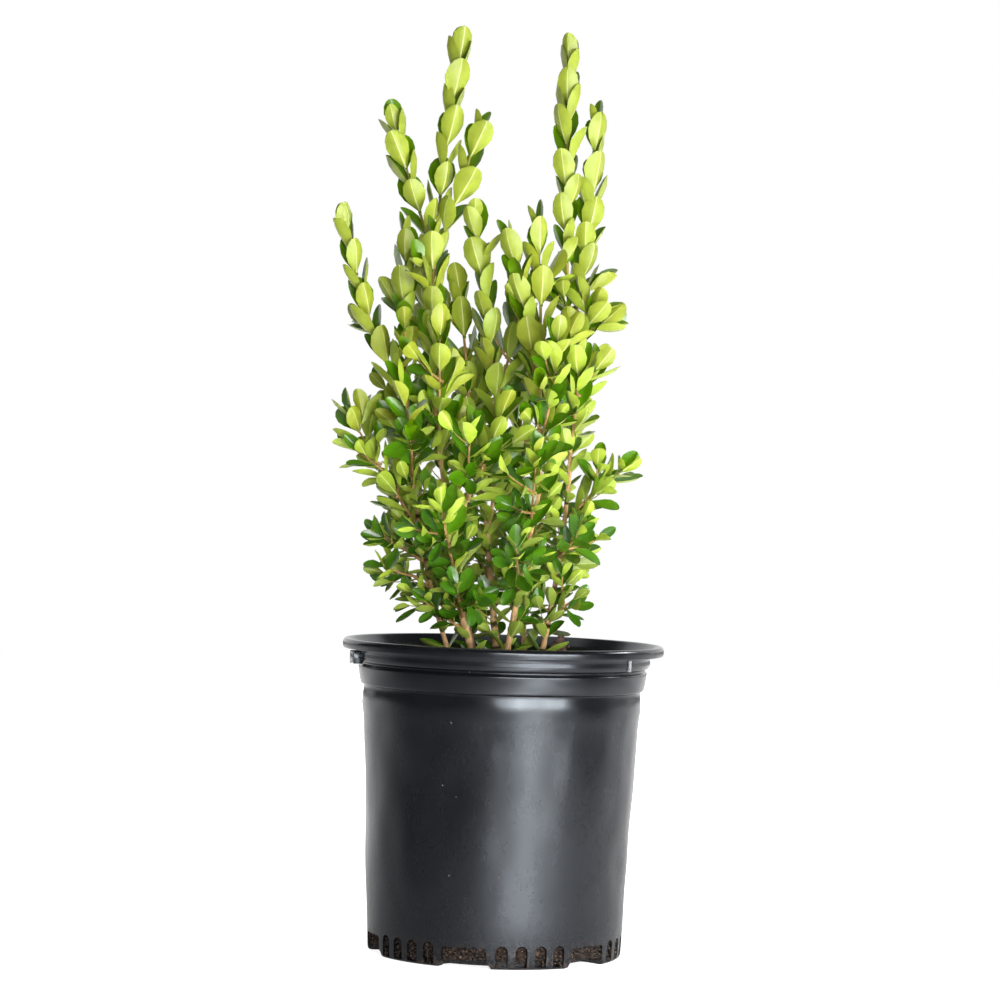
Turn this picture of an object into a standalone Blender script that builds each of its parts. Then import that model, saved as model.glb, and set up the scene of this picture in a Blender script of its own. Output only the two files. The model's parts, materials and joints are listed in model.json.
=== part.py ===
"""Potted wintergreen boxwood.

A young evergreen shrub in a round nursery pot: the pot, its soil, the stems, the
boughs above their forks, and the leafy masses that stems and boughs carry.
Units are metres and +Z is up. The origin is the middle of the pot's flat underside,
and the plant is seen from the front along +Y.
"""

import math
import random

import bmesh
import bpy
import numpy
from mathutils import Matrix, Vector
from mathutils.bvhtree import BVHTree

MM = 0.001
GAP = 0.3 * MM
MERGE = 0.00001
PLANT = "potted_boxwood"

# Pot: a 165 mm wide nursery pot with a rolled lip, a collar and a band under it.
POT_HEIGHT = 160 * MM
LIP_RADIUS = 82.5 * MM
LIP_CREST_RADIUS = 80.7 * MM
LIP_DEPTH = 5 * MM
LIP_ROUND = 1.3 * MM
COLLAR_TOP_RADIUS = 76.8 * MM
COLLAR_FOOT_RADIUS = 74.5 * MM
COLLAR_DEPTH = 6.7 * MM
GROOVE_RADIUS = 73 * MM
GROOVE_DEPTH = 2 * MM
BAND_TOP_RADIUS = 74.2 * MM
BAND_FOOT_RADIUS = 72.9 * MM
BAND_DEPTH = 10.3 * MM
SHOULDER_DEPTH = 3 * MM
BODY_TOP_RADIUS = 71 * MM
FOOT_RADIUS = 65 * MM
FOOT_ROUND = 2.5 * MM
WALL = 1.3 * MM
FLOOR = 1.6 * MM
POT_STEPS = 40
SOIL_STEPS = 20

# Foot of the pot: six feet with arched drain slots, and raised sectors between them.
FEET = 6
FIRST_FOOT_ANGLE = math.radians(-73.5)
SLOTS_A_FOOT = 4
SLOT_PITCH = math.radians(8.8)
SLOT_WIDTH = 6.2 * MM
SLOT_BOTTOM = 1.2 * MM
SLOT_TOP = 12 * MM
SECTOR_RISE = 2.3 * MM
SECTOR_WIDTH = 25 * MM
RING_HEIGHT = SECTOR_RISE + 1.5 * MM
RING_INNER_RADIUS = 50 * MM
WINDOW_WIDTH = 21 * MM
WINDOW_TOP = 10 * MM
CUT_INNER_RADIUS = 58 * MM
CUT_OUTER_RADIUS = 70 * MM

# Soil: fills the pot to 10 mm under its rim.
SOIL_TOP = 150 * MM

# Leaves: outline, root and place on the twig. Angles are in radians.
LEAF_SHAPE = 0.5
LEAF_WIDTH = 0.72
LEAF_THICKNESS = 0.035
LEAF_ROOT_FREE = 0.16
LEAF_RIDGE = 0.34
LEAF_SUNK = 0.5 * MM
TWIG_RADIUS = 1.15 * MM
SIDE_TWIG_RADIUS = 1 * MM
TWIG_TIP_RADIUS = 0.8 * MM
TWIG_STATION = 26 * MM
TIP_LEAF_SHARE = 0.6
TOP_SPACING = 0.75
LOW_SPACING = 1.15
LEAF_LEAN = math.radians(40)
LEAF_OPENING = math.radians(6)
LEAF_SWAY = 0.25
STEM_LEAVES = (0.1, 0.96)
TWIG_LEAVES = (0.35, 0.9)
TWIG_LEAN = (42, 62)
GOLDEN_TURN = math.radians(137.5)
FRONT = Vector((0, 1, 0))

# How finely clearances are tested, and how often a clear place is looked for.
CLEARANCE_STEP = 1.5 * MM
TUBE_TEST_STEP = 6 * MM
TWIG_TRIES = 8
LEAF_TRIES = 5
LIMB_SIDES = 6
LIMB_STATION = 16 * MM

TIP = None

# Stems: foot across and back, tip, bow of the middle, and radius at foot and tip, in mm.
STEMS = {
    "stem_left": ((-27, -3), (-53, -9, 285), (-5, 0), 1.5, 1.0),
    "stem_fork": ((-14, -9), (-29, -12, 220), (-3, 0), 2.2, 1.8),
    "stem_centre": ((-3, 1), (-11, 9, 222), (0, 0), 2.3, 1.5),
    "stem_inner": ((1, -10), (16, -11, 240), (0, 0), 1.9, 1.4),
    "stem_right": ((19, -2), (31, 1, 243), (1.5, 0), 1.7, 1.3),
    "stem_back": ((11, 11), (4, 26, 234), (1, 0), 1.7, 1.1),
    "stem_back_left": ((-14, 11), (-32, 26, 228), (-1, 0), 1.6, 1.1),
}

# Boughs: what carries each, how high, then tip, bow and radii as for the stems.
BOUGHS = {
    "bough_leader": ("stem_fork", TIP, (-41, -4, 366), (-5, 1), 1.5, 1.0),
    "bough_fork": ("stem_fork", 214, (-13, -20, 250), (0, 0), 1.2, 0.9),
    "bough_centre": ("stem_centre", TIP, (-23, 17, 298), (-2, 0), 1.4, 0.9),
    "bough_middle": ("stem_centre", 212, (-11, -1, 305), (3, -3), 1.1, 0.9),
    "bough_inner": ("stem_inner", TIP, (14, -14, 312), (0, 0), 1.3, 0.9),
    "bough_right": ("stem_right", TIP, (27, 5, 350), (2, 0), 1.3, 1.0),
}

# Leafy masses: carrier, height on it, tip, bow, side twigs, their length, leaf length.
MASSES = {
    "leaves_left_top": ("stem_left", TIP, (-56, -13, 376), (-1, 0), 1, 18, 21),
    "leaves_left_upper": ("stem_left", 276, (-88, -20, 380), (-4, 0), 0, 0, 21),
    "leaves_left_side": ("stem_left", 216, (-87, -10, 283), (-1, 0), 2, 16, 19),
    "leaves_left_front": ("stem_left", 243, (-59, -38, 299), (2, -6), 1, 20, 20),
    "leaves_left_back": ("stem_left", 236, (-59, 22, 299), (2, 6), 1, 20, 20),
    "leaves_left_low": ("stem_left", 199, (-72, -18, 219), (0, 0), 2, 18, 18),
    "leaves_left_lowest": ("stem_left", 186, (-64, 2, 203), (0, 0), 1, 16, 17),
    "leaves_left_low_back": ("stem_left", 205, (-64, 28, 236), (0, 4), 1, 18, 18),
    "leaves_foot_left": ("stem_fork", 164, (-55, -18, 190), (0, 0), 1, 16, 17),
    "leaves_foot_front": ("stem_fork", 172, (-26, -46, 196), (0, -4), 1, 16, 17),
    "leaves_fork_low": ("stem_fork", 196, (-36, -50, 240), (0, -6), 1, 20, 18),
    "leaves_leader_top": ("bough_leader", TIP, (-30, 2, 474), (-1, 0), 0, 0, 21),
    "leaves_leader_left": ("bough_leader", 356, (-66, -8, 432), (-1, 0), 0, 0, 21),
    "leaves_leader_right": ("bough_leader", 358, (-20, -8, 431), (1.5, 0), 0, 0, 21),
    "leaves_leader_front": ("bough_leader", 258, (-37, -38, 326), (0, -6), 2, 20, 20),
    "leaves_leader_face": ("bough_leader", 300, (-42, -24, 372), (0, -4), 1, 18, 21),
    "leaves_leader_back": ("bough_leader", 300, (-48, 26, 366), (0, 6), 1, 20, 20),
    "leaves_fork_top": ("bough_fork", TIP, (-1, -29, 288), (0, 0), 0, 0, 20),
    "leaves_fork_front": ("bough_fork", 232, (-20, -48, 276), (0, -4), 1, 18, 19),
    "leaves_centre_low": ("stem_centre", 184, (-24, 32, 232), (0, 4), 2, 18, 18),
    "leaves_centre_top": ("bough_centre", TIP, (-30, 22, 350), (0, 0), 1, 20, 20),
    "leaves_centre_back": ("bough_centre", 262, (-14, 50, 322), (0, 5), 1, 20, 20),
    "leaves_middle_top": ("bough_middle", TIP, (-24, -4, 388), (1, 0), 0, 0, 21),
    "leaves_middle_side": ("bough_middle", 282, (0, 14, 352), (3, 3), 1, 18, 20),
    "leaves_inner_top": ("bough_inner", TIP, (9, -15, 382), (1, 0), 1, 18, 21),
    "leaves_inner_left": ("bough_inner", 268, (-6, -22, 374), (2, -1), 1, 16, 21),
    "leaves_inner_face": ("bough_inner", 262, (22, -38, 326), (2, -6), 1, 20, 20),
    "leaves_inner_front": ("stem_inner", 214, (14, -52, 266), (0, -6), 2, 20, 19),
    "leaves_inner_low": ("stem_inner", 186, (4, -52, 218), (0, -5), 1, 18, 18),
    "leaves_right_top": ("bough_right", TIP, (25, 8, 473), (-1, 0), 0, 0, 21),
    "leaves_right_side": ("bough_right", 318, (38, 14, 439), (3, 2), 0, 0, 21),
    "leaves_right_spur": ("bough_right", 308, (46, -8, 340), (0, -2), 0, 0, 20),
    "leaves_right_mid": ("bough_right", 262, (33, -22, 316), (1, -4), 1, 18, 20),
    "leaves_right_back": ("bough_right", 266, (32, 34, 322), (1, 5), 1, 20, 20),
    "leaves_right_reach": ("stem_right", 224, (65, -4, 256), (0, 0), 2, 16, 18),
    "leaves_right_low": ("stem_right", 204, (41, -30, 224), (0, -4), 1, 18, 18),
    "leaves_right_low_back": ("stem_right", 196, (45, 28, 210), (0, 3), 1, 18, 18),
    "leaves_foot_right": ("stem_right", 172, (42, -8, 189), (0, 0), 1, 16, 17),
    "leaves_back_top": ("stem_back", TIP, (8, 40, 334), (0, 4), 1, 20, 20),
    "leaves_back_right": ("stem_back", 208, (34, 50, 272), (2, 5), 1, 20, 19),
    "leaves_back_low": ("stem_back", 184, (10, 58, 218), (0, 5), 1, 20, 18),
    "leaves_back_left_top": ("stem_back_left", TIP, (-38, 42, 314), (0, 4), 1, 20, 20),
    "leaves_back_left": ("stem_back_left", 208, (-62, 44, 264), (-2, 4), 1, 20, 19),
    "leaves_back_left_low": ("stem_back_left", 182, (-34, 56, 214), (0, 5), 1, 20, 18),
}

# Material colours as linear red, green and blue, then roughness.
PLASTIC_LOOK = ((0.018, 0.019, 0.022), 0.42)
SOIL_LOOK = ((0.06, 0.035, 0.02), 0.95)
BARK_LOOK = ((0.36, 0.23, 0.12), 0.8)
LOW_LEAF_LOOK = ((0.06, 0.19, 0.025), 0.45)
TOP_LEAF_LOOK = ((0.32, 0.5, 0.08), 0.5)
YOUNG_HEIGHT = 330


class Route:
    """A tapering centreline, whose middle stands off the straight line by its bow."""

    def __init__(self, start, end, bow, thick, thin):
        self.start = start
        self.end = end
        self.knee = (start + end) / 2 + 2 * bow
        self.thick = thick
        self.thin = thin

    def at(self, share):
        rest = 1 - share
        return rest * rest * self.start + 2 * rest * share * self.knee + share * share * self.end

    def along(self, share):
        return ((1 - share) * (self.knee - self.start) + share * (self.end - self.knee)).normalized()

    def radius(self, share):
        return self.thick + share * (self.thin - self.thick)

    def length(self):
        return sum((self.at(part / 10) - self.at((part + 1) / 10)).length for part in range(10))

    def share_at_height(self, height):
        low, high = 0.0, 1.0
        for _ in range(24):
            middle = (low + high) / 2
            if self.at(middle).z < height:
                low = middle
            else:
                high = middle
        return (low + high) / 2

    def samples(self, step):
        count = max(2, round(self.length() / step) + 1)
        return [self.at(number / (count - 1)) for number in range(count)]


def empty_the_scene():
    for old in list(bpy.data.objects):
        bpy.data.objects.remove(old, do_unlink=True)


def new_collection(name):
    collection = bpy.data.collections.new(name)
    bpy.context.scene.collection.children.link(collection)
    return collection


def new_material(name, look):
    colour, roughness = look
    material = bpy.data.materials.new(name)
    material.use_nodes = True
    shader = material.node_tree.nodes["Principled BSDF"]
    shader.inputs["Base Color"].default_value = (*colour, 1)
    shader.inputs["Roughness"].default_value = roughness
    return material


def in_millimetres(values):
    return Vector(values) * MM


def bow_vector(bow):
    return Vector((bow[0], bow[1], 0)) * MM


def turned_object(name, profile, steps, collection):
    """A solid turned round the Z axis from radius and height points."""
    mesh = bpy.data.meshes.new(name)
    shape = bmesh.new()
    points = [shape.verts.new((radius, 0, height)) for radius, height in profile]
    for first, second in zip(points, points[1:]):
        shape.edges.new((first, second))
    shape.to_mesh(mesh)
    shape.free()
    turned = bpy.data.objects.new(name, mesh)
    collection.objects.link(turned)
    screw = turned.modifiers.new("turn", "SCREW")
    screw.axis = "Z"
    screw.steps = steps
    screw.render_steps = steps
    screw.use_merge_vertices = True
    screw.merge_threshold = MERGE
    screw.use_smooth_shade = True
    return turned


def wall_heights():
    """Heights of the pot's outside where its width changes, from the lip down."""
    lip_foot = POT_HEIGHT - LIP_DEPTH
    collar_foot = lip_foot - COLLAR_DEPTH
    groove_foot = collar_foot - GROOVE_DEPTH
    band_foot = groove_foot - BAND_DEPTH
    return lip_foot, collar_foot, groove_foot, band_foot, band_foot - SHOULDER_DEPTH


def wall_outline():
    """Radius and height down the pot's outside, from under the lip to the foot's round."""
    lip_foot, collar_foot, groove_foot, band_foot, body_top = wall_heights()
    return [
        (COLLAR_TOP_RADIUS, lip_foot),
        (COLLAR_FOOT_RADIUS, collar_foot),
        (GROOVE_RADIUS, collar_foot - GROOVE_DEPTH / 3),
        (GROOVE_RADIUS, groove_foot),
        (BAND_TOP_RADIUS, groove_foot - GROOVE_DEPTH / 3),
        (BAND_FOOT_RADIUS, band_foot),
        (BODY_TOP_RADIUS, body_top),
        (FOOT_RADIUS, FOOT_ROUND),
    ]


def inner_outline():
    """Radius and height up the inside of the wall, which is smoother than the outside."""
    lip_foot, collar_foot, groove_foot, band_foot, body_top = wall_heights()
    return [
        (FOOT_RADIUS - WALL, RING_HEIGHT),
        (BODY_TOP_RADIUS - WALL, body_top),
        (GROOVE_RADIUS - WALL, groove_foot),
        (GROOVE_RADIUS - WALL, collar_foot),
        (COLLAR_TOP_RADIUS - WALL, lip_foot),
    ]


def pot_profile():
    """Up the inside from the floor's middle, over the lip and down the outside."""
    wall = wall_outline()
    profile = [(0, FLOOR), (RING_INNER_RADIUS, FLOOR)]
    profile.append((RING_INNER_RADIUS + RING_HEIGHT - FLOOR, RING_HEIGHT))
    profile.extend(inner_outline())
    profile.append((LIP_CREST_RADIUS - LIP_ROUND, POT_HEIGHT - LIP_ROUND / 2))
    profile.append((LIP_CREST_RADIUS, POT_HEIGHT))
    profile.append((LIP_RADIUS, POT_HEIGHT - LIP_ROUND))
    profile.append((LIP_RADIUS, POT_HEIGHT - LIP_DEPTH + LIP_ROUND / 2))
    profile.append((LIP_RADIUS - LIP_ROUND, POT_HEIGHT - LIP_DEPTH))
    profile.extend(wall[:-1])
    for turn in (0, 45, 90):
        angle = math.radians(turn)
        radius = FOOT_RADIUS - FOOT_ROUND * (1 - math.cos(angle))
        profile.append((radius, FOOT_ROUND * (1 - math.sin(angle))))
    profile.append((0, 0))
    return profile


def soil_profile():
    """The soil's top, side and underside, a gap inside the pot."""
    inner = inner_outline()
    collar_foot, rim = inner[-2:]
    share = (SOIL_TOP - collar_foot[1]) / (rim[1] - collar_foot[1])
    top_radius = collar_foot[0] + share * (rim[0] - collar_foot[0])
    ring_top = RING_HEIGHT + GAP
    profile = [(0, SOIL_TOP), (top_radius - GAP, SOIL_TOP)]
    profile.extend((radius - GAP, height) for radius, height in reversed(inner[1:-1]))
    profile.append((inner[0][0] - GAP, ring_top))
    profile.append((RING_INNER_RADIUS + ring_top - FLOOR - 3 * GAP, ring_top))
    profile.append((RING_INNER_RADIUS - 3 * GAP, FLOOR + GAP))
    profile.append((0, FLOOR + GAP))
    return profile


def hide_cutter(cutter, collection):
    collection.objects.link(cutter)
    cutter.hide_render = True
    cutter.display_type = "WIRE"


def box_cutter(name, width, bottom, top, angle, collection):
    """A box that cuts through the pot's wall at one angle round it."""
    shape = bmesh.new()
    bmesh.ops.create_cube(shape, size=1)
    reach = CUT_OUTER_RADIUS - CUT_INNER_RADIUS
    middle = (CUT_OUTER_RADIUS + CUT_INNER_RADIUS) / 2
    bmesh.ops.scale(shape, vec=(reach, width, top - bottom), verts=shape.verts)
    bmesh.ops.translate(shape, vec=(middle, 0, (top + bottom) / 2), verts=shape.verts)
    mesh = bpy.data.meshes.new(name)
    shape.to_mesh(mesh)
    shape.free()
    cutter = bpy.data.objects.new(name, mesh)
    cutter.rotation_euler.z = angle
    hide_cutter(cutter, collection)


def arch_cutter(name, angle, collection):
    """A slot with a round top, from an arched outline pushed out through the wall."""
    half = SLOT_WIDTH / 2
    spring = SLOT_TOP - half
    outline = [(half, SLOT_BOTTOM)]
    for turn in range(0, 181, 60):
        across = half * math.cos(math.radians(turn))
        outline.append((across, spring + half * math.sin(math.radians(turn))))
    outline.append((-half, SLOT_BOTTOM))
    shape = bmesh.new()
    corners = [shape.verts.new((CUT_INNER_RADIUS, across, up)) for across, up in outline]
    face = shape.faces.new(corners)
    pushed = bmesh.ops.extrude_face_region(shape, geom=[face])
    moved = [item for item in pushed["geom"] if isinstance(item, bmesh.types.BMVert)]
    bmesh.ops.translate(shape, vec=(CUT_OUTER_RADIUS - CUT_INNER_RADIUS, 0, 0), verts=moved)
    bmesh.ops.recalc_face_normals(shape, faces=shape.faces)
    mesh = bpy.data.meshes.new(name)
    shape.to_mesh(mesh)
    shape.free()
    cutter = bpy.data.objects.new(name, mesh)
    cutter.rotation_euler.z = angle
    hide_cutter(cutter, collection)


def add_pot(parts, cutters):
    pot = turned_object("pot", pot_profile(), POT_STEPS, parts)
    pot.data.materials.append(new_material("black_plastic", PLASTIC_LOOK))
    foot_turn = 2 * math.pi / FEET
    for foot in range(FEET):
        foot_angle = FIRST_FOOT_ANGLE + foot * foot_turn
        for slot in range(SLOTS_A_FOOT):
            angle = foot_angle + (slot - (SLOTS_A_FOOT - 1) / 2) * SLOT_PITCH
            arch_cutter(f"slot_{foot}_{slot}", angle, cutters)
        sector_angle = foot_angle + foot_turn / 2
        box_cutter(f"sector_{foot}", SECTOR_WIDTH, -1 * MM, SECTOR_RISE, sector_angle, cutters)
        box_cutter(f"window_{foot}", WINDOW_WIDTH, RING_HEIGHT, WINDOW_TOP, sector_angle, cutters)
    cut = pot.modifiers.new("drain_cuts", "BOOLEAN")
    cut.operation = "DIFFERENCE"
    cut.operand_type = "COLLECTION"
    cut.collection = cutters


def add_soil(parts):
    soil = turned_object("soil", soil_profile(), SOIL_STEPS, parts)
    soil.data.materials.append(new_material("potting_mix", SOIL_LOOK))


def start_on(carrier, height, toward, thick):
    """Where a limb of radius thick starts on its carrier: on its tip, or on its side."""
    if height is TIP:
        return carrier.end + GAP * carrier.along(1)
    share = carrier.share_at_height(height * MM)
    foot = carrier.at(share)
    axis = carrier.along(share)
    way = (toward - foot).normalized()
    sine = way.cross(axis).length
    cosine = abs(way.dot(axis))
    clear = carrier.radius(share) + GAP + thick * cosine
    return foot + way * clear / sine


def plan_limbs():
    """Routes of all stems and boughs by name."""
    limbs = {}
    for name, (foot, tip, bow, thick, thin) in STEMS.items():
        start = Vector((foot[0] * MM, foot[1] * MM, SOIL_TOP + GAP))
        limbs[name] = Route(start, in_millimetres(tip), bow_vector(bow), thick * MM, thin * MM)
    for name, (carrier, height, tip, bow, thick, thin) in BOUGHS.items():
        end = in_millimetres(tip)
        start = start_on(limbs[carrier], height, end + 4 * bow_vector(bow), thick * MM)
        limbs[name] = Route(start, end, bow_vector(bow), thick * MM, thin * MM)
    return limbs


def tube_curve(name, points, radii):
    """A poly curve through the points, whose bevel is scaled at each by its radius."""
    curve = bpy.data.curves.new(name, "CURVE")
    curve.dimensions = "3D"
    curve.use_fill_caps = True
    spline = curve.splines.new("POLY")
    spline.points.add(len(points) - 1)
    for place, point, radius in zip(spline.points, points, radii):
        place.co = (*point, 1)
        place.radius = radius
    return curve


def add_limb(name, route, material, parts):
    stations = max(4, round(route.length() / LIMB_STATION))
    shares = [number / stations for number in range(stations + 1)]
    points = [route.at(share) for share in shares]
    radii = [route.radius(share) / MM for share in shares]
    if name in STEMS:
        points.insert(1, points[0] + Vector((0, 0, 2 * MM)))
        radii.insert(1, radii[0])
    curve = tube_curve(name, points, radii)
    curve.bevel_depth = 1 * MM
    curve.bevel_resolution = 1
    curve.materials.append(material)
    limb = bpy.data.objects.new(name, curve)
    parts.objects.link(limb)


def unit_leaf():
    """A leaf 1 long, 1 wide and 1 thick: a five-sided double cone drawn to a leaf's outline."""
    shape = bmesh.new()
    bmesh.ops.create_uvsphere(shape, u_segments=5, v_segments=2, radius=1)
    for corner in shape.verts:
        if abs(corner.co.z) > 0.5:
            corner.co = Vector((LEAF_RIDGE, 0, 0.5 * math.copysign(1, corner.co.z)))
        else:
            turn = math.atan2(corner.co.x, corner.co.y)
            share = (1 - math.cos(turn)) / 2
            corner.co = Vector((share ** LEAF_SHAPE, math.sin(turn) / 2, 0))
    mesh = bpy.data.meshes.new("unit_leaf")
    shape.to_mesh(mesh)
    shape.free()
    return mesh


class Clearances:
    """The space already taken, which no new twig or leaf may touch."""

    def __init__(self):
        self.points = []
        self.radii = []
        self.owners = []
        self.solids = []

    def take_route(self, route, owner):
        samples = route.samples(CLEARANCE_STEP)
        for number, point in enumerate(samples):
            self.points.append(tuple(point))
            self.radii.append(route.radius(number / (len(samples) - 1)))
            self.owners.append(owner)

    def route_is_clear(self, route, owner):
        """True where the route keeps off everything but the twigs of its own mass."""
        taken = numpy.array(self.points)
        room = numpy.array(self.radii) + route.thick + 3 * GAP
        others = numpy.array([name != owner for name in self.owners])
        for point in route.samples(CLEARANCE_STEP)[2:]:
            away = numpy.linalg.norm(taken - numpy.array(point), axis=1)
            if numpy.any(others & (away < room)):
                return False
        return True

    def take_solid(self, corners, faces):
        middle, reach = bounding_ball(corners)
        self.solids.append((middle, reach, BVHTree.FromPolygons(corners, faces)))

    def solid_is_clear(self, corners, faces):
        middle, reach = bounding_ball(corners)
        near = [tree for place, size, tree in self.solids if (place - middle).length < reach + size]
        tested = BVHTree.FromPolygons(corners, faces)
        return not any(tested.overlap(tree) for tree in near)


def bounding_ball(corners):
    middle = sum(corners, Vector()) / len(corners)
    return middle, max((corner - middle).length for corner in corners)


def tube_surface(route, sides, widen):
    """Corners and faces of a plain tube along the route, for testing what touches it."""
    corners = []
    faces = []
    samples = route.samples(TUBE_TEST_STEP)
    for number, point in enumerate(samples):
        share = number / (len(samples) - 1)
        axis = route.along(share)
        across = axis.orthogonal().normalized() * (route.radius(share) + widen)
        for side in range(sides):
            corners.append(point + Matrix.Rotation(2 * math.pi * side / sides, 3, axis) @ across)
    for low in range(0, len(corners) - sides, sides):
        for side in range(sides):
            beside = (side + 1) % sides
            faces.append((low + side, low + beside, low + sides + beside, low + sides + side))
    return corners, faces


def twig_stations(route):
    return max(1, round(route.length() / TWIG_STATION))


def on_twig(route, share):
    """The middle of the twig as built, which runs straight from station to station."""
    stations = twig_stations(route)
    number = min(stations - 1, int(share * stations))
    part = share * stations - number
    return route.at(number / stations).lerp(route.at((number + 1) / stations), part)


def plan_twigs(name, limbs, clearances):
    """The mass's own stem first, then the side twigs that keep clear of the rest."""
    carrier, height, tip, bow, side_count, side_length, leaf = MASSES[name]
    chance = random.Random(name)
    end = in_millimetres(tip)
    start = start_on(limbs[carrier], height, end + 4 * bow_vector(bow), TWIG_RADIUS)
    stem = Route(start, end, bow_vector(bow), TWIG_RADIUS, TWIG_TIP_RADIUS)
    stem.end = end - stem.along(1) * leaf * TIP_LEAF_SHARE * MM
    clearances.take_route(stem, name)
    twigs = [stem]
    turn = chance.uniform(0, 2 * math.pi)
    for number in range(side_count):
        share = 0.12 + 0.55 * (number + chance.uniform(0.2, 0.8)) / side_count
        for _ in range(TWIG_TRIES):
            turn += GOLDEN_TURN
            twig = side_twig(stem, share, turn, side_length * MM, chance)
            if clearances.route_is_clear(twig, name):
                clearances.take_route(twig, name)
                twigs.append(twig)
                break
    return twigs


def side_twig(stem, share, turn, length, chance):
    """A short twig that leaves the stem sideways and turns up toward the light."""
    root = on_twig(stem, share)
    axis = stem.along(share)
    side = Matrix.Rotation(turn, 3, axis) @ axis.orthogonal().normalized()
    lean = math.radians(chance.uniform(*TWIG_LEAN))
    way = (axis * math.cos(lean) + side * math.sin(lean) + Vector((0, 0, 0.25))).normalized()
    reach = length * chance.uniform(0.8, 1.1)
    return Route(root, root + way * reach, side * reach * 0.06, SIDE_TWIG_RADIUS, TWIG_TIP_RADIUS)


class Leaf:
    """One leaf's place: its root, the way it points, its upper side and its size."""

    def __init__(self, root, axis, side, lean, length):
        self.way = axis * math.cos(lean) + side * math.sin(lean)
        self.up = axis * math.sin(lean) - side * math.cos(lean)
        self.root = root - self.way * LEAF_SUNK
        self.length = length

    def matrix(self, skip=0.0, widen=0.0):
        """Places the unit leaf, without a share at its root and wider all round."""
        across = self.up.cross(self.way)
        length = self.length * (1 - skip) + widen
        width = self.length * LEAF_WIDTH + 3 * widen
        thickness = self.length * LEAF_THICKNESS + 3 * widen
        sides = (self.way * length, across * width, self.up * thickness)
        start = self.root + self.way * self.length * skip
        return Matrix.Translation(start) @ Matrix(sides).transposed().to_4x4()


def leaf_surface(mesh, matrix):
    corners = [matrix @ corner.co for corner in mesh.vertices]
    return corners, [tuple(face.vertices) for face in mesh.polygons]


def clear_leaf(root, axis, side, length, lean, chance, clearances, leaf_mesh):
    """The first of a few tries at a leaf that touches nothing, or None."""
    for attempt in range(LEAF_TRIES):
        sway = chance.uniform(-LEAF_SWAY, LEAF_SWAY) * (1 + attempt)
        swayed = Matrix.Rotation(sway, 3, axis) @ side
        grown = length * chance.uniform(0.88, 1.05)
        leaf = Leaf(root, axis, swayed, lean * chance.uniform(0.8, 1.2) + attempt * LEAF_OPENING, grown)
        corners, faces = leaf_surface(leaf_mesh, leaf.matrix(LEAF_ROOT_FREE, GAP))
        above_soil = min(corner.z for corner in corners) > SOIL_TOP + 3 * MM
        if above_soil and clearances.solid_is_clear(corners, faces):
            clearances.take_solid(*leaf_surface(leaf_mesh, leaf.matrix(LEAF_ROOT_FREE)))
            return leaf
    return None


def place_leaves(name, twigs, clearances, leaf_mesh):
    """The mass's leaves: pairs that stand crosswise, one above another, up each twig."""
    chance = random.Random(name + " leaves")
    length = MASSES[name][6] * MM
    spacing = length * (TOP_SPACING if len(twigs) == 1 else LOW_SPACING)
    leaves = []
    for twig in twigs:
        first, last = STEM_LEAVES if twig is twigs[0] else TWIG_LEAVES
        count = max(1, round(twig.length() * (last - first) / spacing))
        turn = chance.uniform(-0.3, 0.3)
        for number in range(count + 1):
            share = first + (last - first) * number / count
            at_tip = number == count
            axis = twig.along(share)
            side = Matrix.Rotation(turn + number * math.pi / 2, 3, axis) @ axis.cross(FRONT).normalized()
            for opposite in (side, -side):
                leaf = clear_leaf(
                    on_twig(twig, share), axis, opposite, length * (0.8 if at_tip else 1),
                    LEAF_LEAN * (0.5 if at_tip else 1), chance, clearances, leaf_mesh)
                if leaf:
                    leaves.append(leaf)
    return leaves


def twig_outline():
    """A three-sided outline of radius 1 mm, which the twigs' curves take as their bevel."""
    curve = bpy.data.curves.new("twig_outline", "CURVE")
    spline = curve.splines.new("POLY")
    spline.points.add(2)
    for number, place in enumerate(spline.points):
        turn = 2 * math.pi * number / 3
        place.co = (MM * math.cos(turn), MM * math.sin(turn), 0, 1)
    spline.use_cyclic_u = True
    return bpy.data.objects.new("twig_outline", curve)


def twig_object(name, route, outline, collection):
    """A closed mesh of one twig, made from a curve and welded at its caps."""
    stations = twig_stations(route)
    shares = [number / stations for number in range(stations + 1)]
    points = [route.at(share) for share in shares]
    curve = tube_curve(name, points, [route.radius(share) / MM for share in shares])
    curve.bevel_mode = "OBJECT"
    curve.bevel_object = outline
    source = bpy.data.objects.new(name, curve)
    collection.objects.link(source)
    depsgraph = bpy.context.evaluated_depsgraph_get()
    mesh = bpy.data.meshes.new_from_object(source.evaluated_get(depsgraph))
    place = source.matrix_world.copy()
    bpy.data.objects.remove(source, do_unlink=True)
    shape = bmesh.new()
    shape.from_mesh(mesh)
    bmesh.ops.remove_doubles(shape, verts=shape.verts, dist=MERGE)
    bmesh.ops.recalc_face_normals(shape, faces=shape.faces)
    shape.to_mesh(mesh)
    shape.free()
    twig = bpy.data.objects.new(name, mesh)
    twig.matrix_world = place
    collection.objects.link(twig)
    return twig


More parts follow.
